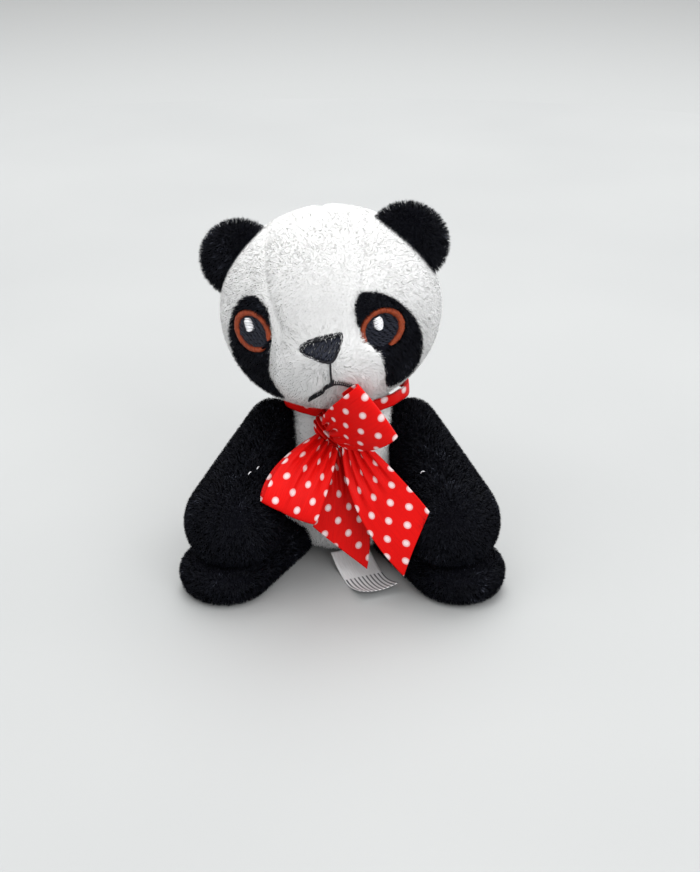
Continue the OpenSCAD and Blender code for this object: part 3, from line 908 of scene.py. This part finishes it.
# ---------- arms and legs ----------

FILL_DEPTH = 1.6


def filling(name, co, faces, normals, body, node_name):
    """The wad inside a cover, a little uneven."""
    inner = co - normals * (FILL_DEPTH + 0.3 * wobble(co, 5)[:, None])
    ob = add_mesh(name + "_fill", inner, faces, body, materials=[FILL])
    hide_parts(node_name)


SHOULDER_R, PAW_R, HIP_R, FOOT_R, LIMB_PILE = 7.6, 13.6, 9.0, 13.0, 1.9
# where the closing stitches lie: the share of the way down the arm and how far they are turned outwards
CLOSING = {-1: ((0.55, -0.2), (0.61, -0.05)), 1: ((0.59, -0.35),)}


def limb(a, b, ra, rb, d):
    """A ball at each end and a cone between, as points and faces."""
    length = np.linalg.norm(b - a)
    tilt = math.asin((ra - rb) / length)
    low = [((ra - d) * math.cos(t), (ra - d) * math.sin(t)) for t in np.linspace(-math.pi / 2, tilt, 12)]
    high = [((rb - d) * math.cos(t), length + (rb - d) * math.sin(t))
            for t in np.linspace(tilt, math.pi / 2, 16)]
    (x1, z1), (x2, z2) = low[-1], high[0]
    between = [(x1 + (x2 - x1) * t, z1 + (z2 - z1) * t) for t in np.linspace(0, 1, 16)[1:-1]]
    co, faces = lathe([(0, low[0][1]), *low[1:], *between, *high[:-1], (0, high[-1][1])], 56)
    z = (b - a) / length
    x = unit(np.cross(vec(0, 0, 1), z))
    return co @ np.array([x, np.cross(z, x), z]) + a, faces


def soft_floor(z, floor, k):
    return floor + ((z - floor) + np.sqrt((z - floor) ** 2 + k * k)) / 2


def soft_slab(z, low, high, r):
    """Presses heights from the middle +-r into a cushion between two levels."""
    half, mid = (high - low) / 2, (high + low) / 2
    t = (z - mid) / r
    return mid + half * np.sign(t) * (1 - (1 - np.minimum(np.abs(t), 1)) ** 2.1)


for s, side in ((-1, "left"), (1, "right")):
    arm, leg = "arm_" + side, "leg_" + side
    lo, hi = node_box("arm_cover_" + side)
    outer = hi[0] if s > 0 else lo[0]
    shoulder = joint_point("arm_swing_" + side)
    paw_floor = lo[2]
    paw = vec(outer - s * PAW_R, lo[1] + PAW_R, paw_floor + 10.2)
    co, faces = limb(shoulder, paw, SHOULDER_R, PAW_R, INSET)
    co[:, 2] = soft_floor(co[:, 2], paw_floor + 0.3, 1.6)
    way = unit(paw - shoulder)
    out = unit(np.cross(way, vec(0, 0, 1)) * s)

    def arm_seam(p):
        """How far a point is from the seam along the inside and back of the arm."""
        off = p - shoulder
        return np.where(off @ np.cross(out, way) < 0, np.abs(off @ out), 9)

    co, faces = swell(co, faces, 1.1, lambda p: np.maximum(np.exp(-(arm_seam(p) / 1.0) ** 2),
                                                           (p[:, 2] < paw_floor + 0.8) * 1.0), cap=0.9)
    co = crease(co, faces, arm_seam(co), 0.5, 0.9)
    n = vertex_normals(co, faces)
    skin(arm, co, faces, n, arm, "black_pile", "arm_cover_" + side)
    filling(arm, co, faces, n, arm, "arm_stuffing_" + side)

    def arm_pile(p, up):
        return np.where((up[:, 2] < -0.3) & (p[:, 2] < paw_floor + 1.6), PRESSED, LIMB_PILE)

    grow(arm + "_pile", co, faces, n, arm, "limb", arm_pile, lambda p: way + np.zeros_like(p),
         floor=paw_floor - 0.3)

    # white hand stitches that closed the arm
    marks = []
    for up_share, turned in CLOSING[s]:
        at = shoulder + (paw - shoulder) * up_share
        spot, facing, _, _ = BVHTree.FromPolygons(co.tolist(), faces.tolist()).ray_cast(
            Vector(at), Vector(vec(s * turned, -1, 0.7)))
        spot, facing = np.array(spot), np.array(facing)
        along = unit(np.cross(facing, vec(0.3, 0.2, 1)))
        tilt = unit(np.cross(facing, along))
        t = np.linspace(-1, 1, 9)[:, None]
        marks.append(spot + facing * (1.9 - 0.5 * t ** 2) + (along * 0.3 + tilt * 0.55) * t)
    mark_co, mark_faces = tubes(np.array(marks), 0.12, vec(0.1, 0.3, 1))
    add_mesh("arm_closing_stitches_" + side, mark_co, mark_faces, arm, materials=[SILK])

    lo, hi = node_box("leg_cover_" + side)
    outer = hi[0] if s > 0 else lo[0]
    hip = joint_point("leg_splay_" + side)
    toe = vec(outer - s * FOOT_R, lo[1] + FOOT_R, hip[2])
    middle = vec(0, 0, (lo[2] + hi[2]) / 2)
    co, faces = limb(hip * vec(1, 1, 0) + middle, toe * vec(1, 1, 0) + middle, HIP_R, FOOT_R, 0)
    away = unit((toe - hip) * vec(1, 1, 0))
    share = np.clip((co - hip) @ away / np.linalg.norm(toe - hip), 0, 1)
    co[:, 2] = soft_slab(co[:, 2], lo[2] + 0.4, hi[2] - 0.3, HIP_R + (FOOT_R - HIP_R) * share)
    centre = (hip + toe) / 2
    co[:, :2] = centre[:2] + (co[:, :2] - centre[:2]) * (1 - INSET / 16)
    co, faces = swell(co, faces, 1.1, lambda p: ((p[:, 2] < lo[2] + 1.0) | (p[:, 2] > hi[2] - 1.0)) * 1.0,
                      cap=0.6)
    n = vertex_normals(co, faces)
    level = (lo[2] + hi[2]) / 2 - 1.5
    co = crease(co, faces, np.where(np.abs(n[:, 2]) < 0.9, np.abs(co[:, 2] - level), 9), 0.4, 0.7)
    n = vertex_normals(co, faces)
    skin(leg, co, faces, n, leg, "black_pile", "leg_cover_" + side)
    filling(leg, co, faces, n, leg, "leg_stuffing_" + side)

    def leg_pile(p, up):
        """Pile that the floor presses below and the paw presses on top."""
        below = (up[:, 2] < -0.3) & (p[:, 2] < lo[2] + 1.5)
        on_top = (up[:, 2] > 0.5) & (p[:, 2] > hi[2] - 1.2)
        return np.where(below | on_top, PRESSED, LIMB_PILE)

    grow(leg + "_pile", co, faces, n, leg, "limb", leg_pile, lambda p: away + np.zeros_like(p),
         floor=FLOOR_GAP)


# ---------- filling ----------

def lump(name, nodes, body, material, size, shrink=0.0, shape=None):
    """A wad inside the cover: a rounded form in the box of its CAD node, uneven like pulled fibre."""
    lo, hi = node_box(*nodes)
    mid, half = (lo + hi) / 2, (hi - lo) / 2 - shrink
    co = directions * half if shape is None else shape(directions)
    co = co + (0 if shape is not None else mid)
    co = co + unit(co - mid) * (wobble(co, size)[:, None] - 1) * 0.3
    ob = add_mesh(name, co, [ico_faces.reshape(-1, 3)], body, materials=[material])
    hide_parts(*nodes)
    return ob


lump("head_fill", ["head_stuffing"], "head", FILL, 6,
     shape=lambda d: to_world(d * (head_surface(d, -2.0))[:, None]))
torso_co, torso_faces = filling_parts
filling("torso", torso_co, torso_faces, vertex_normals(torso_co, torso_faces), "torso", "torso_stuffing")
lump("pellet_pouch_bag", ["pellet_pouch"], "torso", PELLETS, 1.6)
lump("neck_fill_lower", ["neck_stuffing_lower"], "neck_lower", FILL, 3, shrink=0.3)
lump("neck_fill_upper", ["neck_stuffing_upper"], "neck_upper", FILL, 3, shrink=0.3)


# ---------- ribbon ----------

RIBBON_W, RIBBON_T = 20.0, 0.22
COLLAR_R, COLLAR_SIDE_R, COLLAR_BACK_R, COLLAR_H, COLLAR_ROLL = 15.6, 18.8, 14.2, 3.8, 4.5


def ribbon(name, co, rows, cols, uv, body, node_name, length, wrap=False):
    """A strip of ribbon, length mm long, from a grid of points. uv is in mm along and across it."""
    faces = grid_faces(rows, cols, wrap_rows=wrap)
    if wrap:  # the last row of faces needs its own end of the pattern, so the first row is repeated
        co, uv = np.concatenate([co, co[:cols]]), np.concatenate([uv, uv[:cols] + [length, 0]])
        faces = grid_faces(rows + 1, cols)
    normals = vertex_normals(co, faces)
    shell, parts = with_thickness(co + normals * RIBBON_T / 2, faces, normals, RIBBON_T)
    ob = add_mesh(name, shell, parts, body, uv=np.concatenate([uv, uv]) * MM, materials=[RIBBON])
    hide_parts(node_name)


def place(x_way, y_way):
    """Axes of a strip: along it, out of its face and across it."""
    x = unit(x_way)
    z = unit(np.cross(x, y_way))
    return x, np.cross(z, x), z


# the gathered band round the neck: the ribbon folded lengthwise into four layers, spread over the shoulders
lo, hi = node_box("neck_ribbon")
collar_mid = (lo + hi) / 2 + vec(1.0, 0, 0.8)
turns, layers = 240, 4
a = np.arange(turns) * 2 * math.pi / turns
fold = np.array([(k * 0.26 + 0.05 * math.sin(math.pi * t), (t - 0.5) * COLLAR_H * 0.96 * (-1) ** k)
                 for k in range(layers) for t in np.linspace(0.02, 0.98, 7)])
around = np.repeat(a, len(fold))
off = np.tile(fold, (turns, 1))
ripple = 0.16 * np.sin(9 * around + 2) + 0.1 * np.sin(17 * around)
oval = 1 / np.hypot(np.cos(around) / COLLAR_SIDE_R, np.sin(around) / COLLAR_R)
band_r = oval + (COLLAR_BACK_R - oval) * smoothstep(np.sin(around), -0.1, 0.6)
radius = band_r - 0.75 + off[:, 0] + ripple
height = off[:, 1] * (1 + 0.06 * np.sin(5 * around + 1)) + 0.12 * np.sin(7 * around)
roll = turn(0, -COLLAR_ROLL, 0)
co = np.stack([radius * np.cos(around), radius * np.sin(around), height], 1) @ roll.T + collar_mid
mean_r = band_r.mean()
span = 2 * math.pi * mean_r
across = run_length(fold)
uv = np.stack([around * mean_r, np.tile(across, turns)], 1)
ribbon("neck_ribbon_band", co, turns, len(fold), uv, "torso", "neck_ribbon", span,
       wrap=True)


class Strip:
    """A stretch of ribbon between two lines, gathered into pleats at its first end."""

    def __init__(self, root_a, root_b, end_a, end_b, bow_a=(0, 0, 0), bow_b=(0, 0, 0), pleats=4.5):
        self.root = np.array([root_a, root_b], float)
        self.end = np.array([end_a, end_b], float)
        self.bow = np.array([bow_a, bow_b], float)
        self.pleats = pleats
        self.way = unit(self.end.mean(0) - self.root.mean(0))
        self.out = unit(np.cross(self.way, self.end[1] - self.end[0]))
        self.out *= -np.sign(self.out[1])
        self.length = np.linalg.norm(self.end.mean(0) - self.root.mean(0))

    def points(self, t, v, gather=0.9):
        """t runs from the knot outwards and v from one edge (-1) to the other (1)."""
        edge = [self.root[k] + (self.end[k] - self.root[k]) * t[..., None]
                + 4 * self.bow[k] * (t * (1 - t))[..., None] for k in (0, 1)]
        share = ((v + 1) / 2)[..., None]
        flat = edge[0] * (1 - share) + edge[1] * share
        wide = np.linalg.norm(edge[1] - edge[0], axis=-1)
        deep = 0.44 * wide / self.pleats * (1 - smoothstep(t, 0.0, gather))
        phase = math.pi * self.pleats * v + 0.8 + 0.5 * np.sin(3 * v)
        return flat, deep * np.sin(phase) * (1 - 0.25 * np.abs(v))


def bow_loop(name, strip, puff, waves, gather, crease_at=None):
    """A loop from the knot out to its fold and back, gathered at the knot."""
    rows, cols = 84, 57
    a, v = np.meshgrid(np.linspace(0.10, 2 * math.pi - 0.10, rows), np.linspace(-1, 1, cols), indexing="ij")
    far = (1 - np.cos(a)) / 2
    flat, pleat = strip.points(far, v, gather)
    deep = puff / 2 * np.sin(a) * (1 - 0.25 * np.cos(a)) + pleat
    deep += waves * np.sin(math.pi * far) * np.sin(2.2 * v + 0.5)
    if crease_at is not None:
        deep += 0.9 * np.exp(-((v - crease_at) / 0.1) ** 2) * np.sin(math.pi * np.clip(far, 0, 0.93))
        deep -= 3.6 * np.maximum(crease_at - v, 0) * smoothstep(far, 0.05, 0.6)
    co = flat + deep[..., None] * strip.out
    co -= (0.9 * v ** 2 * far ** 3)[..., None] * strip.way
    step = run_length(co[:, cols // 2])
    uv = np.stack([np.repeat(step, cols), np.tile(np.linspace(0, RIBBON_W, cols), rows)], 1)
    ribbon(name + "_ribbon", co.reshape(-1, 3), rows, cols, uv, "torso", name, step[-1])


def ribbon_tail(name, strip, wave, start=0.0):
    """A flat tail from the knot to its slanted cut end."""
    rows, cols = 72, 57
    t, v = np.meshgrid(np.linspace(0, 1, rows), np.linspace(-1, 1, cols), indexing="ij")
    flat, pleat = strip.points(t, v, gather=0.62)
    deep = pleat + wave * np.sin(math.pi * t) * (0.6 + 0.8 * v) + 0.4 * np.sin(2.5 * v + 1) * t ** 2
    co = flat + deep[..., None] * strip.out
    along = (flat - strip.root.mean(0)) @ strip.way + start
    uv = np.stack([along, (v + 1) * RIBBON_W / 2], -1).reshape(-1, 2)
    ribbon(name + "_ribbon", co.reshape(-1, 3), rows, cols, uv, "ribbon_tails", name, strip.length)


# the knot: the ribbon's own end wrapped once round, with deep pleats
lo, hi = node_box("bow_knot")
knot_mid = (lo + hi) / 2
axis, knot_out, knot_up = place(vec(1, 0, 1), vec(0, -1, 0))
KNOT_R, KNOT_L = 4.6, 8.0
rows, cols = 72, 61
a, v = np.linspace(0, 2 * math.pi, rows, endpoint=False)[:, None], np.linspace(-1, 1, cols)[None]
pleats = 0.68 * np.sin(v * math.pi * 6.2 + 0.5 * np.sin(a)) * (1 - 0.5 * v ** 4)
pleats = pleats + 0.25 * np.sin(3 * a + 2 * v)
radius = KNOT_R * np.sqrt(1 - 0.9 * v ** 4) + pleats
side = KNOT_L / 2 * v
co = knot_mid + radius[..., None] * (np.cos(a)[..., None] * knot_out + np.sin(a)[..., None] * knot_up) \
    + (side + 0 * a)[..., None] * axis
uv = np.stack(np.broadcast_arrays(a * KNOT_R, (v + 1) * RIBBON_W / 2), -1).reshape(-1, 2)
ribbon("bow_knot_wrap", co.reshape(-1, 3), rows, cols, uv, "torso", "bow_knot", 2 * math.pi * KNOT_R,
       wrap=True)

bow_loop("bow_loop_left",
         Strip((-7.4, -25.2, 44.6), (-1.6, -26.2, 40.4), (-21.9, -43.5, 32.3), (-8.2, -42, 23.8),
               bow_a=(-2.2, -1.4, 1.8)), 4.6, 0.8, 0.75, crease_at=-0.3)
bow_loop("bow_loop_right",
         Strip((-5.4, -25.4, 48.9), (-1.0, -26.6, 43.2), (4.5, -49, 70.4), (15.2, -46, 53.8),
               bow_a=(-2.4, -3.6, 1.0), bow_b=(0.4, -1.6, -0.7)), 4.6, 0.7, 0.5)
ribbon_tail("ribbon_tail_right",
            Strip((6.2, -28, 43.2), (0.2, -27, 41.7), (24.0, -44.5, 30.0), (17.3, -46, 10.1),
                  bow_a=(0.8, 0, 0), bow_b=(-3.8, 0, -0.8)), 0.5)
ribbon_tail("ribbon_tail_left",
            Strip((0.8, -25, 40.1), (-4.7, -25, 40.7), (7.2, -33, 4.4), (-8.5, -30.4, 17.2),
                  bow_a=(3.2, 0, 0)), 0.4, start=2.0)


# ---------- care label ----------

LABEL_W, LABEL_LEN = 12.0, 23.0
label_white, nt, shader = principled("label_satin", Roughness=0.5)
point = node(nt, "ShaderNodeUVMap", uv_map="ribbon").outputs["UV"]
stretch = node(nt, "ShaderNodeMapping", Scale=(300.0, 6000.0, 1.0))
weave = node(nt, "ShaderNodeTexNoise", Scale=1.0, Detail=1.0)
wire(point, stretch.inputs["Vector"])
wire(stretch.outputs["Vector"], weave.inputs["Vector"])
ramp = two_tone(nt, shader, weave.outputs["Fac"], (0.62, 0.61, 0.61), (0.78, 0.77, 0.77))
bump(nt, shader, weave.outputs["Fac"], 0.1, 0.0001)
# plain bars, no words
lines = node(nt, "ShaderNodeTexWave", Scale=250.0, Distortion=0.0, bands_direction="Y")
wire(point, lines.inputs["Vector"])
bar = node(nt, "ShaderNodeMapRange")
bar.inputs["From Min"].default_value, bar.inputs["From Max"].default_value = 0.62, 0.74
wire(lines.outputs["Fac"], bar.inputs["Value"])
split = node(nt, "ShaderNodeSeparateXYZ")
wire(point, split.inputs["Vector"])
begin = node(nt, "ShaderNodeMath", operation="GREATER_THAN")
begin.inputs[1].default_value = 0.011
wire(split.outputs["X"], begin.inputs[0])
both = node(nt, "ShaderNodeMath", operation="MULTIPLY")
wire(bar.outputs["Result"], both.inputs[0])
wire(begin.outputs["Value"], both.inputs[1])
printed = node(nt, "ShaderNodeMix", data_type="RGBA")
printed.inputs[7].default_value = rgba((0.09, 0.09, 0.10))
wire(both.outputs["Value"], printed.inputs["Factor"])
wire(ramp.outputs["Color"], printed.inputs[6])
wire(printed.outputs[2], shader.inputs["Base Color"])

hinge = joint_point("label_flip")
label_turn = math.radians(22)
rows, cols = 56, 17
u, v = np.linspace(0, 1, rows)[:, None], np.linspace(-1, 1, cols)[None]
away = vec(math.sin(label_turn), -math.cos(label_turn), 0)
beside = vec(math.cos(label_turn), math.sin(label_turn), 0)
rise = 2.9 * (2 * u - 1.1) ** 2 - 2.9 * 1.21 + 0.35
curl = 1.1 * smoothstep(u, 0.55, 1.0) * v ** 2
co = hinge + (LABEL_LEN * u + 0 * v)[..., None] * away + (LABEL_W / 2 * v + 0 * u)[..., None] * beside \
    + (rise + curl)[..., None] * vec(0, 0, 1)
faces = grid_faces(rows, cols)
normals = vertex_normals(co.reshape(-1, 3), faces)
shell, parts = with_thickness(co.reshape(-1, 3), faces, normals, 0.16)
uv = np.stack(np.broadcast_arrays(LABEL_LEN * u, LABEL_W / 2 * (v + 1)), -1).reshape(-1, 2)
care_label = add_mesh("care_label_strip", shell, parts, "label",
                      uv=np.concatenate([uv, uv]) * MM, materials=[label_white])
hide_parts("care_label")


# ---------- key ring ----------

# the loop: one cord out of the back seam, round and in again, twisted from two strands
lo, hi = node_box("nape_loop")
LOOP_R, CORD_R = 2.6, 0.7
eye = vec(0, hi[1] - LOOP_R - CORD_R, (lo[2] + hi[2]) / 2)
a = np.radians(np.linspace(-152, 152, 60))
ring = np.stack([0 * a, LOOP_R * np.cos(a), LOOP_R * np.sin(a)], 1)
gap = LOOP_R * math.sin(math.radians(152))
lead = np.stack([np.zeros(14), np.linspace(-8.5, -LOOP_R * 0.9, 14), np.zeros(14)], 1)
low = lead + np.stack([0 * lead[:, 0], 0 * lead[:, 0], -np.linspace(0.55, gap, 14)], 1)
high = (lead + np.stack([0 * lead[:, 0], 0 * lead[:, 0], np.linspace(0.55, gap, 14)], 1))[::-1]
path = np.concatenate([low, ring, high]) + eye
way = unit(np.gradient(path, axis=0))
flat_side = np.tile(vec(1, 0, 0), (len(path), 1))
other = np.cross(way, flat_side)
length = run_length(path)
strands = []
for k in range(3):
    phase = length * 2.2 + k * 2 * math.pi / 3
    strands.append(path + 0.32 * (np.cos(phase)[:, None] * flat_side + np.sin(phase)[:, None] * other))
co, faces = tubes(np.array(strands), 0.36, np.tile(vec(1, 0.01, 0.02), (3, len(path), 1)), sides=10)
uv = np.stack([co[:, 1] + co[:, 2], co[:, 0] * 4], 1)
cord = add_mesh("nape_loop_cord", co, faces, "head", uv=uv * MM, materials=[CORD])
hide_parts("nape_loop")

# two flat coils of spring wire, with their ends showing
lo, hi = node_box("split_ring")
ring_mid, RING_R, WALL, COIL = (lo + hi) / 2, (hi[0] - lo[0]) / 2, 1.5, 1.12
steps = 260
a = np.linspace(0.06, 4 * math.pi - 0.06, steps)
climb = smoothstep(a, 2 * math.pi - 0.45, 2 * math.pi + 0.45)
start = 0.55 * math.pi
corner = 0.25
section = vec([-WALL / 2 + corner, -COIL / 2], [WALL / 2 - corner, -COIL / 2], [WALL / 2, -COIL / 2 + corner],
              [WALL / 2, COIL / 2 - corner], [WALL / 2 - corner, COIL / 2], [-WALL / 2 + corner, COIL / 2],
              [-WALL / 2, COIL / 2 - corner], [-WALL / 2, -COIL / 2 + corner])
r = RING_R - WALL / 2 + section[None, :, 0]
y = (climb[:, None] * 2 - 1) * COIL * 0.53 + section[None, :, 1]
co = np.stack([r * np.cos(a + start)[:, None], y, r * np.sin(a + start)[:, None]], -1)
co = co.reshape(-1, 3) + ring_mid
quads = grid_faces(steps, len(section), wrap_cols=True)[:, ::-1]
ends = np.array([np.arange(len(section)), (steps - 1) * len(section) + np.arange(len(section))[::-1]])
coil = add_mesh("split_ring_coils", co, [quads, ends], "key_ring", materials=[STEEL])
for poly in coil.data.polygons:
    poly.use_smooth = False
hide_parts("split_ring")

# the chain links are the CAD's own, in nickel
for ob in frame["nodes"].values():
    if not ob.hide_render:
        for slot in ob.material_slots:
            slot.material = STEEL


# ---------- stage, light and camera ----------

floor_mat, nt, shader = principled("sweep_paper", Roughness=0.85)
cloud = node(nt, "ShaderNodeTexNoise", Scale=6.0, Detail=2.0)
wire(object_point(nt), cloud.inputs["Vector"])
two_tone(nt, shader, cloud.outputs["Fac"], (0.305, 0.31, 0.308), (0.325, 0.33, 0.327))
FLOOR_R, SWEEP_R = 0.62, 0.35

# painted shade: the backdrop is coloured darker towards its top, where less light falls on the upright wall
wall_mat, nt, shader = principled("backdrop_paper", Roughness=0.85)
split = node(nt, "ShaderNodeSeparateXYZ")
wire(object_point(nt), split.inputs["Vector"])
rise = node(nt, "ShaderNodeMapRange")
rise.inputs["From Max"].default_value = 0.05
wire(split.outputs["Z"], rise.inputs["Value"])
two_tone(nt, shader, rise.outputs["Result"], (0.315, 0.32, 0.317), (0.225, 0.228, 0.225),
         at=(0.0, 1.0))


def stage_piece(name, outline, mat, steps=96):
    """A turned sheet of the studio, from (radius, height) in metres."""
    a = np.arange(steps) * 2 * math.pi / steps
    co = [(r * math.cos(t), r * math.sin(t), z) for r, z in outline for t in a]
    me = bpy.data.meshes.new(name)
    me.from_pydata(co, [], grid_faces(len(outline), steps, wrap_cols=True).tolist())
    for poly in me.polygons:
        poly.use_smooth = True
    me.materials.append(mat)
    ob = bpy.data.objects.new(name, me)
    bpy.context.scene.collection.objects.link(ob)
    return ob


stage_piece("floor", [(0.001, 0.0), (0.2, 0.0), (0.4, 0.0), (FLOOR_R, 0.0)], floor_mat)
sweep = [(FLOOR_R + SWEEP_R * math.sin(t), SWEEP_R * (1 - math.cos(t)))
         for t in np.radians(np.linspace(6, 84, 14))]
wall = stage_piece("backdrop", [(FLOOR_R, 0.0), *sweep, (0.98, 0.4), (1.0, 1.6)], wall_mat)
# the backdrop is only to be seen: it keeps no light away from the studio
wall.visible_diffuse = wall.visible_glossy = wall.visible_shadow = wall.visible_transmission = False


def area_light(name, place_at, target, size, power, colour=(1, 1, 1)):
    data = bpy.data.lights.new(name, "AREA")
    data.shape, data.size, data.energy, data.color = "DISK", size, power, colour
    ob = bpy.data.objects.new(name, data)
    bpy.context.scene.collection.objects.link(ob)
    ob.location = place_at
    ob.rotation_mode = "QUATERNION"
    ob.rotation_quaternion = (Vector(target) - Vector(place_at)).to_track_quat("-Z", "Y")


area_light("key", (-0.2, -0.2, 1.1), (0, 0.0, 0.05), 1.0, 6.0, (1.0, 0.995, 0.98))
area_light("fill", (0.5, -0.9, 0.7), (0, 0, 0.05), 0.9, 7.0, (0.98, 0.99, 1.0))
area_light("back", (0.1, 0.5, 1.2), (0, 0.25, 0), 1.0, 14.0)

world = bpy.data.worlds.new("studio")
bpy.context.scene.world = world
world.use_nodes = True
world.node_tree.nodes["Background"].inputs["Color"].default_value = (0.97, 0.98, 1.0, 1)
world.node_tree.nodes["Background"].inputs["Strength"].default_value = 1.15
bpy.context.scene.view_settings.view_transform = "Standard"

CAMERA_ELEVATION = math.radians(26)
CAMERA_DISTANCE = 0.42
AIM = Vector((0.0022, 0, 0.0317))
back = Vector((0, -math.cos(CAMERA_ELEVATION), math.sin(CAMERA_ELEVATION)))
camera = bpy.data.objects.new("camera", bpy.data.cameras.new("camera"))
bpy.context.scene.collection.objects.link(camera)
camera.data.sensor_width, camera.data.lens = 36, 56.83
camera.data.clip_start, camera.data.clip_end = 0.01, 20
camera.location = AIM + back * CAMERA_DISTANCE
camera.rotation_mode = "QUATERNION"
camera.rotation_quaternion = (-back).to_track_quat("-Z", "Y")
bpy.context.scene.camera = camera
